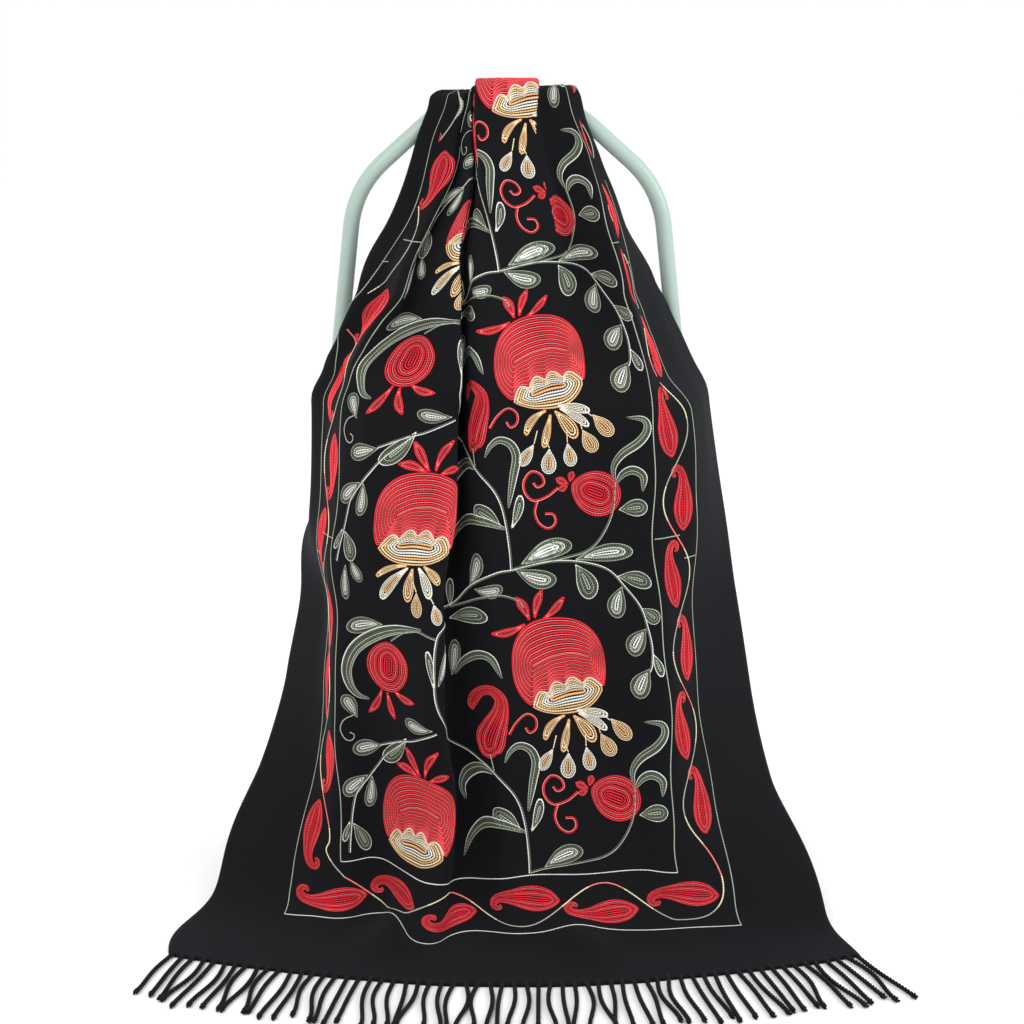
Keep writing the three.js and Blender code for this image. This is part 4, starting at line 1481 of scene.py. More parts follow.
# Places of the motifs, on the flat cloth in millimetres, were set to points read off the photograph.
# Stems, curls and hooked leaves run through points read one after another along their lines there.
# The outlines of leaves, petals, seeds and small fruit are worked out from such points by drop(),
# and the bodies of the large fruit by Pomegranate.
LEAVES = (
    Placed((60, 504), (104, 490), 21, Filling.LEAF_WHITE, -4),
    Placed((67, 508), (124, 528), 21, Filling.LEAF_WHITE, 4),
    Placed((125, 511), (188, 521), 19, Filling.LEAF_WHITE, 2),
    Placed((125, 507), (139, 470), 23, Filling.LEAF_DARK, 3),
    Placed((168, 494), (204, 486), 18, Filling.LEAF_DARK, 2),
    Placed((173, 484), (163, 450), 20, Filling.LEAF_WHITE, -2),
    Placed((191, 461), (208, 446), 16, Filling.LEAF_DARK, 1),
    Placed((195, 440), (177, 411), 21, Filling.LEAF_WHITE, -2),
    Placed((199, 414), (208, 388), 10, Filling.LEAF_SLIM, 1),
    Placed((196, 398), (180, 366), 22, Filling.LEAF_WHITE, -2),
    Placed((175, 242), (206, 246), 19, Filling.LEAF_DARK),
    Placed((72, 186), (114, 205), 20, Filling.LEAF_WHITE, 3),
    Placed((9, 484), (22, 520), 17, Filling.LEAF_WHITE, -2),
    Placed((14, 482), (46, 484), 15, Filling.LEAF_WHITE, -3),
    Placed((-15, 459), (-16, 490), 10, Filling.LEAF_SLIM),
    Placed((-18, 448), (28, 453), 18, Filling.LEAF_DARK, 3),
    Placed((-20, 386), (-12, 426), 14, Filling.LEAF_WHITE, -1),
    Placed((-80, 388), (-62, 430), 14, Filling.LEAF_WHITE, 1),
    Placed((-83, 386), (-93, 428), 8, Filling.LEAF_SLIM),
    Placed((50, 226), (18, 246), 20, Filling.LEAF_DARK, -2),
    Placed((60, 224), (72, 260), 11, Filling.LEAF_SLIM, -2),
    Placed((-152, 446), (-199, 436), 18, Filling.LEAF_WHITE, -2),
    Placed((-188, 338), (-203, 363), 16, Filling.LEAF_WHITE, -1),
    Placed((-84, 341), (-122, 346), 15, Filling.LEAF_WHITE, 2),
    Placed((-160, 310), (-195, 301), 18, Filling.LEAF_WHITE, -1),
    Placed((-121, 327), (-160, 295), 19, Filling.LEAF_DARK, 3),
    Placed((-180, 275), (-207, 252), 18, Filling.LEAF_WHITE, -1),
    Placed((-176, 275), (-180, 240), 14, Filling.LEAF_WHITE, 1),
    Placed((-197, 222), (-182, 190), 16, Filling.LEAF_DARK, 2),
    Placed((-200, 224), (-207, 200), 7, Filling.LEAF_SLIM),
    Placed((-190, 186), (-195, 146), 11, Filling.LEAF_WHITE),
    Placed((-184, 192), (-172, 168), 13, Filling.LEAF_WHITE),
)


class Hooked(NamedTuple):
    """A long hooked leaf: its middle line from the stalk to the tip and its width."""

    points: tuple[tuple[float, float], ...]
    width: float
    threads: tuple[Thread, ...]


HOOK_EDGED = (Thread.WHITE, Thread.OLIVE, Thread.OLIVE, Thread.PALE, Thread.OLIVE, Thread.PALE)
HOOK_DARK = (Thread.PALE, Thread.OLIVE, Thread.PALE, Thread.OLIVE, Thread.OLIVE, Thread.WHITE)
HOOKED_LEAVES = (
    Hooked(((-16, 388), (-6, 402), (12, 412), (28, 409), (38, 388)), 10, HOOK_EDGED),
    Hooked(((58, 246), (65, 278), (69, 298), (64, 311), (52, 316), (42, 310), (36, 298)), 10,
           HOOK_DARK),
    Hooked(((55, 224), (30, 233), (2, 230), (-16, 217), (-24, 197)), 12, HOOK_DARK),
    Hooked(((24, 286), (4, 288), (-16, 280), (-27, 266), (-24, 250)), 14, HOOK_EDGED),
    Hooked(((172, 272), (171, 288), (180, 302), (198, 315), (207, 328), (204, 339), (186, 341)), 10,
           HOOK_DARK),
    Hooked(((173, 270), (181, 281), (192, 285), (202, 278), (201, 262)), 10, HOOK_EDGED),
    Hooked(((-100, 448), (-136, 443), (-168, 431), (-190, 415), (-199, 394), (-196, 376), (-187, 364),
            (-174, 360)), 15, (Thread.PALE, *HOOK_DARK)),
)


class Stalk(NamedTuple):
    """A stem or a curl: its line, its rows and the width of a row."""

    points: tuple[tuple[float, float], ...]
    threads: tuple[Thread, ...] = (Thread.PALE, Thread.OLIVE)
    row_width: float = 1.5


# The coral row beside the crimson one is a painted highlight along the curl's edge.
RED_CURL = (Thread.CORAL_AND_HIGHLIGHT, Thread.CRIMSON)
STALKS = (
    Stalk(((57, 180), (57, 200), (55, 228), (50, 252), (40, 270), (22, 288), (2, 298), (-22, 310),
           (-45, 325), (-68, 345), (-80, 368), (-84, 400), (-84, 432), (-77, 448), (-50, 456),
           (-15, 462), (10, 484), (38, 499), (57, 502)), (Thread.WHITE, Thread.OLIVE), 1.6),
    Stalk(((57, 502), (100, 510), (135, 508), (160, 500), (176, 482), (190, 462), (196, 440),
           (199, 420), (198, 402), (195, 394)), (Thread.WHITE, Thread.OLIVE), 1.5),
    Stalk(((-15, 460), (2, 466), (22, 473), (42, 476), (60, 470), (66, 462))),
    Stalk(((172, 272), (170, 246), (163, 226), (150, 207), (135, 197), (115, 192), (92, 188),
           (72, 185), (57, 181)), (Thread.PALE, Thread.OLIVE)),
    Stalk(((-84, 440), (-105, 446), (-124, 442), (-143, 430))),
    Stalk(((-81, 338), (-111, 326), (-132, 321), (-162, 311)), (Thread.WHITE, Thread.OLIVE)),
    Stalk(((-125, 322), (-154, 302), (-169, 286), (-182, 270), (-193, 256), (-197, 238), (-199, 218),
           (-202, 188)), (Thread.WHITE, Thread.OLIVE)),
    Stalk(((-190, 342), (-202, 336), (-207, 325), (-202, 314), (-195, 313), (-192, 319), (-197, 322)),
          (Thread.PALE,), 1.8),
    Stalk(((20, 306), (24, 288)), (Thread.PALE,), 1.8),
    Stalk(((42, 328), (50, 340), (62, 349), (71, 344), (71, 334), (64, 329), (60, 335)), RED_CURL, 1.5),
    Stalk(((112, 266), (100, 257), (86, 253), (77, 261), (76, 273), (84, 283), (94, 280), (97, 271),
           (90, 267), (86, 272)), RED_CURL, 1.6),
    Stalk(((90, 254), (86, 241), (90, 229), (100, 223), (108, 229), (106, 238), (97, 239)),
          RED_CURL, 1.6),
)

SMALL_REDS = (
    Placed((126, 270), (177, 250), 50, Filling.RED_RINGS, 0, 0.54, 0.6),
    Placed((124, 271), (128, 284), 9, Filling.RED_PETAL),
    Placed((124, 269), (109, 276), 10, Filling.RED_PETAL),
    Placed((123, 268), (112, 263), 9, Filling.RED_PETAL),
    Placed((-146, 428), (-149, 372), 60, Filling.RED_RINGS, 0, 0.50, 0.55),
    Placed((-156, 376), (-176, 344), 10, Filling.RED_PETAL, 3),
    Placed((-149, 374), (-136, 343), 10, Filling.RED_PETAL, -2),
    Placed((-140, 377), (-106, 367), 9, Filling.RED_PETAL, -3),
)

INNER_PAISLEY = ((19, 300, 1), (19, 302, 14), (18, 307, 25), (19, 314, 33), (21, 323, 36),
                 (27, 336, 29), (34, 352, 19), (35, 366, 13), (26, 375, 11), (14, 373, 11),
                 (5, 365, 13), (1, 356, 10), (3, 351, 1))
PAISLEY = ((0, 0, 0.02), (0.06, 0, 0.15), (0.18, 0.01, 0.29), (0.34, 0.02, 0.36), (0.52, 0.04, 0.32),
           (0.69, 0.05, 0.22), (0.84, 0.04, 0.15), (0.95, -0.01, 0.12), (0.99, -0.09, 0.10),
           (0.94, -0.15, 0.08), (0.87, -0.13, 0.06), (0.87, -0.08, 0.02))


@dataclass
class Pomegranate:
    """A large pomegranate of rows with a scalloped opening, a crown and a tassel of seeds."""

    middle: tuple[float, float]
    crown: tuple[Placed, ...]
    tassel: tuple[Placed, ...]
    opening_left: tuple[float, float]
    opening_right: tuple[float, float]
    half_width: float = 50.0
    half_height: float = 52.0
    scallops: int = 4
    scallop_rise: float = 7.5
    opening_rise: float = 11.0
    pair_pitch: float = 3.8
    spine: tuple[tuple[float, float], ...] = ((-27, 0), (-8, 9), (14, 13), (33, 9))
    threads: tuple[tuple[tuple[float, float], ...], ...] = ()

    def _arc(self, start: Sequence[float], end: Sequence[float], long_way: bool) -> np.ndarray:
        """Part of the body's outline between two of its points, counter-clockwise from start.

        Args:
            start: Where it starts.
            end: Where it ends.
            long_way: Whether to go the long way round, clockwise from end to start.

        Returns:
            Its points.
        """
        first = math.atan2(start[1] / self.half_height, start[0] / self.half_width)
        last = math.atan2(end[1] / self.half_height, end[0] / self.half_width)
        if long_way:
            last += 2 * math.pi if last < first else 0.0
        turn = np.linspace(first, last, 96 if long_way else 30)
        c, s = np.cos(turn), np.sin(turn)
        size = (np.abs(c) ** 2.35 + np.abs(s) ** 2.35) ** (-1 / 2.35)
        return np.stack([c * size * self.half_width, s * size * self.half_height], 1)

    def _scalloped(self, scallop_rise: float) -> np.ndarray:
        """The scalloped edge of the opening from left to right."""
        t = np.linspace(0, 1, 40)[:, None]
        left, right = np.array(self.opening_left), np.array(self.opening_right)
        ahead = (right - left) / np.linalg.norm(right - left)
        up = np.array([-ahead[1], ahead[0]])
        rise = self.opening_rise * np.sin(math.pi * t)
        rise = rise + scallop_rise * np.abs(np.sin(self.scallops * math.pi * t))
        return left + (right - left) * t + up * rise

    @staticmethod
    def _facing(outline: np.ndarray, spine: Sequence[Sequence[float]],
                calm: np.ndarray | None = None) -> Shape:
        """Joins each point of an outline to the place above or below it on a line inside."""
        inside = spline(spine, 0.8)
        height = np.interp(outline[:, 0], inside[:, 0], inside[:, 1])
        anchors = np.stack([np.clip(outline[:, 0], *inside[[0, -1], 0]), height], 1)
        return Shape(outline, anchors, calm)

    def parts(self) -> list[list[Stitches]]:
        """Stitches the whole motif.

        Returns:
            The rows of the body, the opening and each petal, seed and thread, on the flat cloth.
        """
        upper = self._arc(self.opening_right, self.opening_left, True)
        lower = self._arc(self.opening_left, self.opening_right, False)
        edge, calm = self._scalloped(self.scallop_rise), self._scalloped(self.scallop_rise / 2)
        body = self._facing(np.concatenate([upper[:-1], edge[:-1]]), self.spine,
                            np.concatenate([upper[:-1], calm[:-1]]))
        far = np.linalg.norm(body.outline - body.anchors, axis=1).mean()
        pairs = max(round(far / self.pair_pitch), 1)
        # Pairs of a crimson row and a thin coral row; the coral row is a painted highlight along the
        # crimson row's edge.
        filling = [Share(thread, share / pairs) for _ in range(pairs)
                   for thread, share in ((Thread.CRIMSON, 0.68), (Thread.CORAL_AND_HIGHLIGHT, 0.32))]
        made = [body.rows(filling)]
        inner = (np.array(self.opening_left) + np.array(self.opening_right)) / 2
        ahead = (np.array(self.opening_right) - np.array(self.opening_left)) * 0.22
        mouth = np.concatenate([edge[::-1][:-1], lower[:-1]])
        spine = [inner - ahead + [0, 1], inner + [0, 3], inner + ahead + [0, 1]]
        rim = Stitches(Thread.WHITE, edge, np.full(len(edge), 1.5), False, 0.5)
        made.append([*self._facing(mouth, spine).rows(Filling.OPENING, 0.1), rim])
        made += [part.rows(0.2) for part in (*self.crown, *self.tassel)]
        made += [stem(points, (Thread.CREAM,), 1.5) for points in self.threads]
        return [[row._replace(line=row.line + self.middle) for row in part] for part in made]


RIGHT_POMEGRANATE = Pomegranate(
    middle=(99, 400), opening_left=(-29, -42), opening_right=(45, -22),
    crown=(Placed((-30, 46), (-71, 36), 10, Filling.RED_PETAL, 4),
           Placed((-27, 47), (-41, 75), 12, Filling.RED_PETAL, -2),
           Placed((-22, 49), (-11, 82), 10, Filling.RED_PETAL, 2),
           Placed((-15, 48), (12, 74), 9, Filling.RED_PETAL, -2)),
    tassel=(Placed((5, -52), (-20, -80), 9, Filling.GOLD, -5),
            Placed((8, -55), (-1, -93), 9, Filling.GOLD, 0),
            Placed((11, -52), (34, -82), 16, Filling.GOLD, 2),
            Placed((16, -50), (48, -69), 10, Filling.SILVER, 2),
            Placed((14, -48), (50, -53), 10, Filling.SILVER, 1),
            Placed((-11, -88), (-26, -111), 13, Filling.SEED_SILVER),
            Placed((5, -92), (3, -120), 17, Filling.SEED_SILVER),
            Placed((24, -86), (28, -112), 15, Filling.SEED_SILVER),
            Placed((40, -72), (53, -96), 17, Filling.SEED_GOLD),
            Placed((51, -56), (72, -78), 17, Filling.SEED_GOLD)),
    threads=(((-7, -74), (-11, -88)), ((0, -80), (5, -92)), ((24, -74), (24, -86)),
             ((38, -64), (40, -72)), ((44, -53), (51, -58))),
)
LEFT_POMEGRANATE = Pomegranate(
    middle=(-114, 238), opening_left=(-38, -28), opening_right=(36, -30), half_width=49,
    half_height=48,
    spine=((-25, 4), (-9, 11), (11, 12), (26, 7)),
    crown=(Placed((6, 46), (-27, 56), 11, Filling.RED_PETAL, -3),
           Placed((8, 46), (-10, 80), 11, Filling.RED_PETAL, 0),
           Placed((13, 46), (34, 80), 9, Filling.RED_PETAL, 4),
           Placed((17, 44), (42, 50), 9, Filling.RED_PETAL, 2)),
    tassel=(Placed((-4, -48), (-40, -62), 7, Filling.GOLD, -4),
            Placed((-3, -49), (-36, -86), 13, Filling.SEED_SILVER, -2),
            Placed((1, -49), (-3, -86), 13, Filling.GOLD, 0),
            Placed((8, -74), (9, -100), 14, Filling.SEED_GOLD),
            Placed((6, -48), (24, -80), 11, Filling.SILVER, 2),
            Placed((11, -47), (32, -66), 9, Filling.GOLD, 2),
            Placed((28, -84), (34, -106), 12, Filling.SEED_SILVER)),
    threads=(((3, -64), (8, -74)), ((22, -74), (28, -84))),
)


class Tuck(NamedTuple):
    """A stretch across the cloth whose middle is folded away where the cloth is gathered.

    lower is the share of what stays in sight that belongs to its low end.
    """

    low: float
    high: float
    lower: float


TUCKS = (Tuck(-270.0, -225.0, 0.2), Tuck(-225.0, -67.5, 0.95), Tuck(-67.5, 27.5, 0.25),
         Tuck(112.5, 142.5, 1.0), Tuck(217.5, 262.5, 0.45))
CHANGES = (
    Change(2, (66, 283), (180, 456), (9, 5), (124, 960), 0.13, 1),
    Change(2, (130, 245), (180, 285), (-9, -18), (127, 895), 0.0, -1),
    Change(2, (105, 262), (130, 285), (3, 0), (128, 915), 0.0, 1),
)
SIDE_STARTS = ((1, 248.0), (-1, 204.0))
HIDDEN_PAISLEY = (-1, 8)
END_PAISLEYS = ((219, 74), (132, 75), (52, 72), (-42, 77), (-136, 82), (-222, 77))
VINE_TURNS = ((-229, -140, -51, 38, 127, 216), (-232, -144, -55, 45, 134, 216))
VINE_CORNER = ((229, 119), (245, 127), (257, 144), (260, 166), (254, 188))


@dataclass
class Embroidery:
    """Every row of chain stitches on the shawl, one piece for each thread of the field and border."""

    drape: Drape
    repeat: float = 322.0
    cells: int = 5
    field_low: float = 178.0
    field_high: float = 1582.0
    field_half: float = 212.0
    frame_low: float = 106.0
    frame_half: float = 271.0
    side_pitch: float = 80.5
    end_pitch: float = 89.0
    vine_start: float = 127.0
    side_paisley: float = 70.0
    end_paisley: float = 78.0
    stitch: float = 2.9
    back_stitch: float = 7.0
    waist: float = 0.72
    foot: float = 0.95
    height: float = 0.95
    margin: float = 3.0
    full_share: float = 0.96
    tuck_end: float = 60.0
    turned_along: float = 767.0
    turned_reach: float = 52.0
    turned_fade: float = 24.0
    turned_out: float = 33.0
    least_kept: float = 0.75
    least_spread: float = 0.36
    least_run: int = 2
    frame_row: float = 1.5
    frame_sways: tuple[float, float] = (2.6, 1.8)
    frame_fade: float = 30.0
    first_bar: float = 533.0
    bar_drop: float = 26.0
    inner_bar: tuple[float, float] = (211.0, 245.0)
    outer_bar: tuple[float, float] = (252.0, 271.0)
    paisley_set_off: float = 8.0
    side_fat: float = 1.1
    end_fat: float = 1.12
    vine_row: float = 2.1
    vine_swing: float = 19.0
    end_swing: float = 26.0
    vine_ends: tuple[float, float] = (206.0, 186.0)
    vine_run: int = 13

    def build(self) -> list[bpy.types.Object]:
        """Stitches everything and makes one piece for each thread of the field and the border.

        Returns:
            The pieces.
        """
        areas = {"field": self.field_rows(), "border": self.frame_rows() + self.border_rows()}
        made = []
        for thread in Thread:
            material = ChainThread(thread).material()
            for area, rows in areas.items():
                mine = [row for row in rows if row.thread is thread]
                if mine:
                    name = f"stitches_{thread.value[0]}_{area}"
                    made.append(self.piece(name, mine, material))
        return made

    def field_rows(self) -> list[Stitches]:
        """Rows of the field inside the inner frame, repeated up the cloth."""
        motifs = [leaf.rows() for leaf in LEAVES]
        motifs += [band(leaf.points, leaf.threads, leaf.width) for leaf in HOOKED_LEAVES]
        motifs += [red.rows(0.1) for red in SMALL_REDS]
        motifs.append(ribbon_shape(INNER_PAISLEY, 0.14, 0.93).rows(Filling.RED))
        motifs += [*RIGHT_POMEGRANATE.parts(), *LEFT_POMEGRANATE.parts()]
        stalks = [stem(s.points, s.threads, s.row_width) for s in STALKS]
        made = []
        for cell in range(self.cells):
            up = np.array([0.0, cell * self.repeat])
            for motif in motifs:
                made += self.fitted([self.copied(row, cell, up) for row in motif])
            for stalk in stalks:
                for row in stalk:
                    line = row.line + up
                    inside = (line[:, 1] > self.field_low) & (line[:, 1] < self.field_high)
                    if inside.sum() > 3:
                        made.append(row._replace(line=line[inside], width=row.width[inside]))
        return made

    @staticmethod
    def copied(row: Stitches, cell: int, up: np.ndarray) -> Stitches:
        """Moves a row to its copy, and changes it where that copy differs.

        Args:
            row: The row of the first copy.
            cell: Number of the copy.
            up: The way to it.

        Returns:
            The row of the copy.
        """
        middle = row.line.mean(0)
        for change in CHANGES:
            inside = np.all(middle > change.low) and np.all(middle < change.high)
            if change.cell == cell and inside:
                return row._replace(line=row.line + up + change.shift, cover=change)
        return row._replace(line=row.line + up)

    def fitted(self, rows: list[Stitches]) -> list[Stitches]:
        """Keeps a motif that lies inside the field, without rows that run over its edge.

        Args:
            rows: Rows of a motif.

        Returns:
            The rows that are inside, or none where too many are not.
        """
        kept = [row for row in rows if row.line[:, 1].min() > self.field_low + self.margin
                and row.line[:, 1].max() < self.field_high - self.margin]
        return kept if len(kept) >= self.least_kept * len(rows) else []

    def frame_rows(self) -> list[Stitches]:
        """The two frame lines and the short bars between them."""
        made = []
        length = self.drape.length
        for half, low, sway in ((self.field_half, self.field_low, self.frame_sways[0]),
                                (self.frame_half, self.frame_low, self.frame_sways[1])):
            high = length - low
            sides = [((-half, low), (half, low)), ((half, low), (half, high)),
                     ((half, high), (-half, high)), ((-half, high), (-half, low))]
            for number, (start, end) in enumerate(sides):
                line = spline([start, end], 3.0)
                run = np.linalg.norm(line - line[0], axis=1)
                fade = np.clip(np.minimum(run, run[-1] - run) / self.frame_fade, 0, 1)
                wave = np.sin(run / 47 + number) + 0.6 * np.sin(run / 19 + 2 * number)
                line = line + sideways(line) * (sway * wave * fade)[:, None]
                thread = Thread.PALE if number % 2 else Thread.WHITE
                width = np.full(len(line), self.frame_row)
                made.append(Stitches(thread, line, width, False, 0.1))
        for cell in range(self.cells - 1):
            at = self.first_bar + cell * self.repeat
            for side in (-1, 1):
                for bar, along in ((self.inner_bar, at), (self.outer_bar, at - self.bar_drop)):
                    ends = [(side * across, along) for across in bar]
                    made += stem(ends, (Thread.PALE,), self.frame_row)
        return made

    def paisley(self, centre: Sequence[float], length: float, turn: float, flip: int,
                fat: float = 1.0) -> list[Stitches]:
        """One paisley of the border.

        Args:
            centre: Its middle.
            length: Its length.
            turn: Direction from its fat end to its curl, in degrees.
            flip: 1 or -1, the side to which it curls.
            fat: Width of its belly as a share of the usual one.

        Returns:
            Its rows.
        """
        angle = math.radians(turn)
        ahead = np.array([math.cos(angle), math.sin(angle)]) * length
        left = np.array([-ahead[1], ahead[0]]) * flip
        wide = length * fat
        points = [(*(np.array(centre) + ahead * (x - 0.48) + left * y), w * wide)
                  for x, y, w in PAISLEY]
        return ribbon_shape(points, 0.14, 0.92).rows(Filling.RED, 0.1)

    def border_rows(self) -> list[Stitches]:
        """Paisleys and the winding vine between the two frame lines."""
        made = []
        length = self.drape.length
        middle = (self.field_half + self.frame_half) / 2
        low = (self.field_low + self.frame_low) / 2
        for side, first in SIDE_STARTS:
            count = int((length - 2 * first) / self.side_pitch) + 1
            for k in range(count):
                if (side, k) == HIDDEN_PAISLEY:
                    continue
                out = -self.paisley_set_off * (-1) ** (k + 1)
                turn = side * (94 - out / 4)
                flip = (-1) ** (k + 1)
                place = (side * (middle + out), first + k * self.side_pitch)
                made += self.paisley(place, self.side_paisley, turn, flip, self.side_fat)
        for end in (0, 1):
            for k, (u, long) in enumerate(END_PAISLEYS):
                rise = self.paisley_set_off * (-1) ** k
                place = (u, low + rise) if end == 0 else (-u, length - low - rise)
                turn = 180 + 180 * end - rise * 0.4
                fat = self.end_fat * self.end_paisley / long
                made += self.paisley(place, long, turn, 1 if rise < 0 else -1, fat)
        return made + self.variegated(self.vine(middle, low))

    def vine(self, middle: float, low: float) -> np.ndarray:
        """The winding line of the border, once round the cloth.

        Args:
            middle: Middle of the side borders, across.
            low: Middle of the front border, along.

        Returns:
            Its points.
        """
        length = self.drape.length
        sides = []
        for side, first in SIDE_STARTS:
            near, far = self.vine_ends if side > 0 else self.vine_ends[::-1]
            s = np.arange(near, length - far, 12.0)
            swing = self.vine_swing * np.cos(math.pi * (s - first) / self.side_pitch)
            u = side * (middle + 1 - swing)
            sides.append(np.stack([u, s], 1))
        start, pitch = self.vine_start, self.end_pitch
        u = np.arange(start - 3.75 * pitch, start + pitch, pitch / 8)
        s = low + self.end_swing * np.cos(math.pi * (u - start) / pitch)
        front = np.concatenate([np.stack([np.interp(u, *VINE_TURNS), s], 1), VINE_CORNER])
        back = np.array([0.0, length]) - front
        loop = np.concatenate([front, sides[0], back, sides[1][::-1], front[:1]])
        return spline(loop, 3.0)

    def variegated(self, line: np.ndarray) -> list[Stitches]:
        """A row whose thread changes from red through cream to green and back.

        Args:
            line: Its line.

        Returns:
            Short rows end to end.
        """
        order = (Thread.CORAL_AND_HIGHLIGHT, Thread.CREAM, Thread.PALE, Thread.PALE, Thread.CREAM)
        made = []
        for number, start in enumerate(range(0, len(line) - 1, self.vine_run)):
            part = line[start:start + self.vine_run + 1]
            if len(part) > 2:
                width = np.full(len(part), self.vine_row)
                made.append(Stitches(order[number % len(order)], part, width, False, 0.35))
        return made

    @cached_property
    def shares(self) -> list[np.ndarray]:
        """Share of each tuck's width that stays in sight, for each place along the drape."""
        steps = np.linalg.norm(np.diff(self.drape.points, axis=1), axis=2)
        along = np.arange(len(steps)) * self.drape.step_along
        freed = smooth((along - self.drape.crest_along) / self.tuck_end)
        made = []
        for low, high, _ in TUCKS:
            first, last = (round(edge + self.drape.width / 2) for edge in (low, high))
            share = np.clip(steps[:, first:last].mean(1) / self.full_share, 0.03, 1.0)
            made.append(share + (1 - share) * freed)
        return made

    def tucked(self, places: np.ndarray) -> tuple[np.ndarray, np.ndarray]:
        """Moves places to where the gathered cloth shows them at their full width.

        Args:
            places: Places on the flat cloth.

        Returns:
            The moved places, and whether each is folded away.
        """
        along = np.arange(len(self.drape.points)) * self.drape.step_along
        across = places[:, 0].copy()
        hidden = np.zeros(len(across), bool)
        for (low, high, lower), shares in zip(TUCKS, self.shares):
            share = np.interp(places[:, 1], along, shares)
            seen = share * (high - low)
            from_low, from_high = places[:, 0] - low, high - places[:, 0]
            inside = (from_low > 0) & (from_high > 0)
            near_low, near_high = from_low <= seen * lower, from_high <= seen * (1 - lower)
            across[inside & near_low] = (low + from_low / share)[inside & near_low]
            across[inside & near_high] = (high - from_high / share)[inside & near_high]
            hidden |= inside & ~near_low & ~near_high
        near = np.exp(-((places[:, 1] - self.turned_along) / self.turned_reach) ** 2)
        outside = smooth((-self.field_half - across) / self.turned_fade)
        return np.stack([across - self.turned_out * near * outside, places[:, 1]], 1), hidden

    def whole_runs(self, kept: np.ndarray) -> np.ndarray:
        """Drops runs of a few steps that would look like scraps of thread."""
        if kept.all():
            return kept
        shifts = range(-self.least_run, self.least_run + 1)
        core = np.all([np.roll(kept, k) for k in shifts], axis=0)
        return np.any([np.roll(core, k) for k in shifts], axis=0)

    def stitched(self, row: Stitches) -> tuple[np.ndarray, np.ndarray, np.ndarray]:
        """Divides a row into stitches with two steps each, from a joint to a belly and on.

        Args:
            row: The row.

        Returns:
            The points, the widths there, and how far the row narrows at each joint.
        """
        line = np.concatenate([row.line, row.line[:1]]) if row.closed else row.line
        width = np.concatenate([row.width, row.width[:1]]) if row.closed else row.width
        run = np.concatenate([[0], np.cumsum(np.linalg.norm(np.diff(line, axis=0), axis=1))])
        behind = line[:, 1].min() > self.drape.crest_along
        steps = 2 * max(round(run[-1] / (self.back_stitch if behind else self.stitch)), 2)
        at = np.linspace(0, run[-1], steps + 1)[:steps if row.closed else steps + 1]
        spaced = np.stack([np.interp(at, run, line[:, 0]), np.interp(at, run, line[:, 1])], 1)
        narrow = np.where(np.arange(len(at)) % 2 == 0, self.waist, 1.0)
        return spaced, np.interp(at, run, width), narrow

    def piece(self, name: str, rows: list[Stitches],
              material: bpy.types.Material) -> bpy.types.Object:
        """Lays rows of one thread on the draped cloth.

        Args:
            name: Name of the piece.
            rows: Its rows.
            material: Material of its thread.

        Returns:
            The piece.
        """
        points, faces, marks, base = [], [], [], 0
        for row in rows:
            line, width, narrow = self.stitched(row)
            left = sideways(line, row.closed) * (width * narrow / 2)[:, None]
            edges, hidden = [line + left, line, line - left], [np.zeros(len(line), bool)]
            if row.cover is None:
                edges, hidden = zip(*(self.tucked(side) for side in edges))
            low = self.foot + row.level
            top = low + self.height * np.clip(width / 2.4, 0.4, 1.0) * narrow
            lifts = [low, top, low]
            laid = np.stack([self.drape.at(e[:, 0], e[:, 1], h) for e, h in zip(edges, lifts)], 1)
            spread = np.linalg.norm(laid[:, 0] - laid[:, 2], axis=1) / (width * narrow)
            spread[np.any(hidden, axis=0)] = 0.0
            if row.cover is not None:
                spread[row.cover.covers(line)] = 0.0
            count = len(line)
            last = count if row.closed else count - 1
            after = (np.arange(last) + 1) % count
            kept = self.whole_runs(np.minimum(spread[:last], spread[after]) >= self.least_spread)
            for i in np.flatnonzero(kept):
                j = after[i]
                for k, (a, b) in enumerate(((0.0, 0.5), (0.5, 1.0), (1.0, 0.0))):
                    m = (k + 1) % 3
                    faces.append((base + i * 3 + k, base + j * 3 + k, base + j * 3 + m,
                                  base + i * 3 + m))
                    run = i / 2
                    marks.append(((a, run), (a, run + 0.5), (b, run + 0.5), (b, run)))
                before = kept[i - 1] if i or row.closed else False
                beyond = kept[(i + 1) % last] if i + 1 < last or row.closed else False
                for ended, at, order in ((not before, i, (0, 1, 2)), (not beyond, j, (2, 1, 0))):
                    if ended:
                        faces.append(tuple(base + at * 3 + k for k in order))
                        marks.append(tuple((0.5, i / 2) for _ in order))
            points.append(laid.reshape(-1, 3))
            base += count * 3
        mesh = bpy.data.meshes.new(name)
        mesh.from_pydata(np.concatenate(points) * MM, [], faces)
        log.info("%s: %d rows, %d faces", name, len(rows), len(faces))
        layer = mesh.uv_layers.new(name="stitch")
        layer.data.foreach_set("uv", np.array([v for face in marks for uv in face for v in uv]))
        made = piece_from(name, mesh, material)
        return made


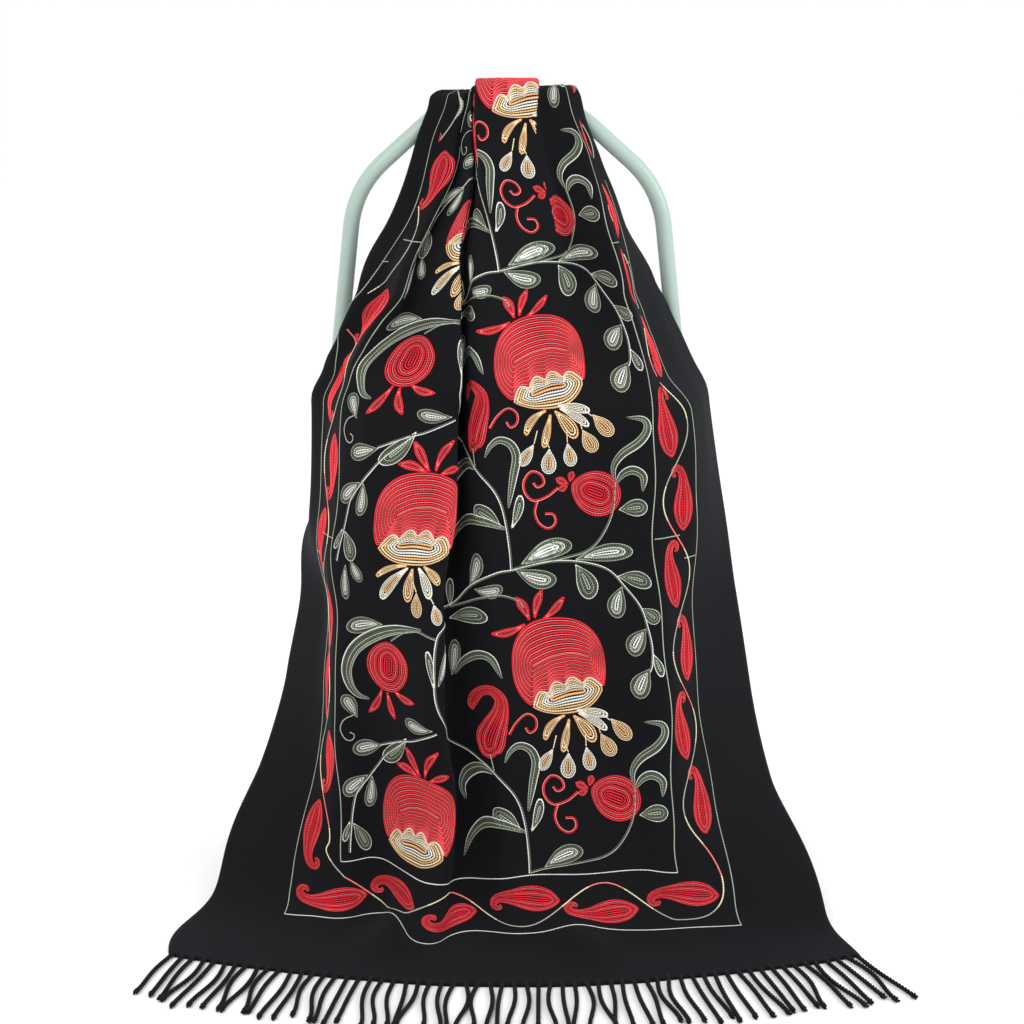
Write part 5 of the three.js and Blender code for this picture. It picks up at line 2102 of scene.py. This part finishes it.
@dataclass
class Studio:
    """Pale floor, soft light and the camera."""

    shift: tuple[float, float]
    camera_back: float = 2960.0
    camera_height: float = 1045.0
    tilt_down: float = 12.6
    lens: float = 94.92
    floor_reach: float = 60.0

    def floor(self) -> bpy.types.Object:
        """Lays the floor, which isn't part of the object.

        Returns:
            The floor.
        """
        shape = bmesh.new()
        bmesh.ops.create_grid(shape, x_segments=2, y_segments=2, size=self.floor_reach / 2)
        bmesh.ops.translate(shape, verts=shape.verts, vec=(0, 0, -0.0004))
        made = bpy.data.objects.new("pale_floor", mesh_of("pale_floor", shape))
        bpy.context.scene.collection.objects.link(made)
        made.data.materials.append(StudioFloor().material())
        made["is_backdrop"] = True
        return made

    def light(self, name: str, at: Vector, size: float, power: float, colour: Colour) -> None:
        """Hangs a square soft light that looks at the middle of the shawl.

        Args:
            name: Name of the light.
            at: Its place in metres.
            size: Length of a side in metres.
            power: Power in watts.
            colour: Its colour.
        """
        lamp = bpy.data.lights.new(name, "AREA")
        lamp.shape = "SQUARE"
        lamp.size = size
        lamp.energy = power
        lamp.color = colour
        made = bpy.data.objects.new(name, lamp)
        bpy.context.scene.collection.objects.link(made)
        made.location = at
        made.rotation_euler = (Vector((0, 0, 0.45)) - at).to_track_quat("-Z", "Y").to_euler()

    def camera(self) -> bpy.types.Object:
        """Sets the camera at the photograph's angle.

        Returns:
            The camera.
        """
        data = bpy.data.cameras.new("photo_camera")
        data.lens = self.lens
        data.sensor_width = 36.0
        data.dof.use_dof = False
        made = bpy.data.objects.new("photo_camera", data)
        bpy.context.scene.collection.objects.link(made)
        made.location = Vector((self.shift[0], self.shift[1] - self.camera_back,
                                self.camera_height)) * MM
        made.rotation_euler = (math.radians(90 - self.tilt_down), 0.0, 0.0)
        bpy.context.scene.camera = made
        return made

    def build(self) -> None:
        """Sets up the floor, the light and the camera."""
        self.floor()
        world = bpy.data.worlds.new("soft_white")
        bpy.context.scene.world = world
        world.use_nodes = True
        backdrop = world.node_tree.nodes["Background"]
        backdrop.inputs["Color"].default_value = (1.0, 1.0, 1.0, 1.0)
        backdrop.inputs["Strength"].default_value = 1.06
        self.light("key_light", Vector((-1.3, -2.3, 2.7)), 1.6, 40.0, (1.0, 0.99, 0.97))
        self.light("side_light", Vector((2.3, -0.6, 1.6)), 1.4, 26.0, (0.94, 0.97, 1.0))
        bpy.context.scene.view_settings.view_transform = "Standard"
        self.camera()


def corners(box: Iterable[Iterable[float]]) -> list[list[float]]:
    """A box as plain lists of numbers."""
    return [[round(float(value), 6) for value in corner] for corner in box]


def main() -> None:
    """Builds the object piece by piece and sets the scene up."""
    logging.basicConfig(level=logging.INFO, format="%(name)s: %(message)s")
    low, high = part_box("hoop")
    shift = ((low[0] + high[0]) / 2 / MM + 5.0, low[1] / MM + 9.0)
    Studio(shift).build()
    drape = Drape(shift)
    cloth = Cloth(drape).build()
    fringes = [Fringe(drape, hem).build() for hem in Hem]
    stand = Stand(shift[0] - 5.0, shift[1]).build()
    stitches = Embroidery(drape).build()
    for piece in [cloth, *fringes, *stand, *stitches]:
        log.info("%s: %d faces", piece.name, len(piece.data.polygons))
    {"cad": corners(CAD_BOX), "looks": corners(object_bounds())}


if __name__ == "__main__":
    main()
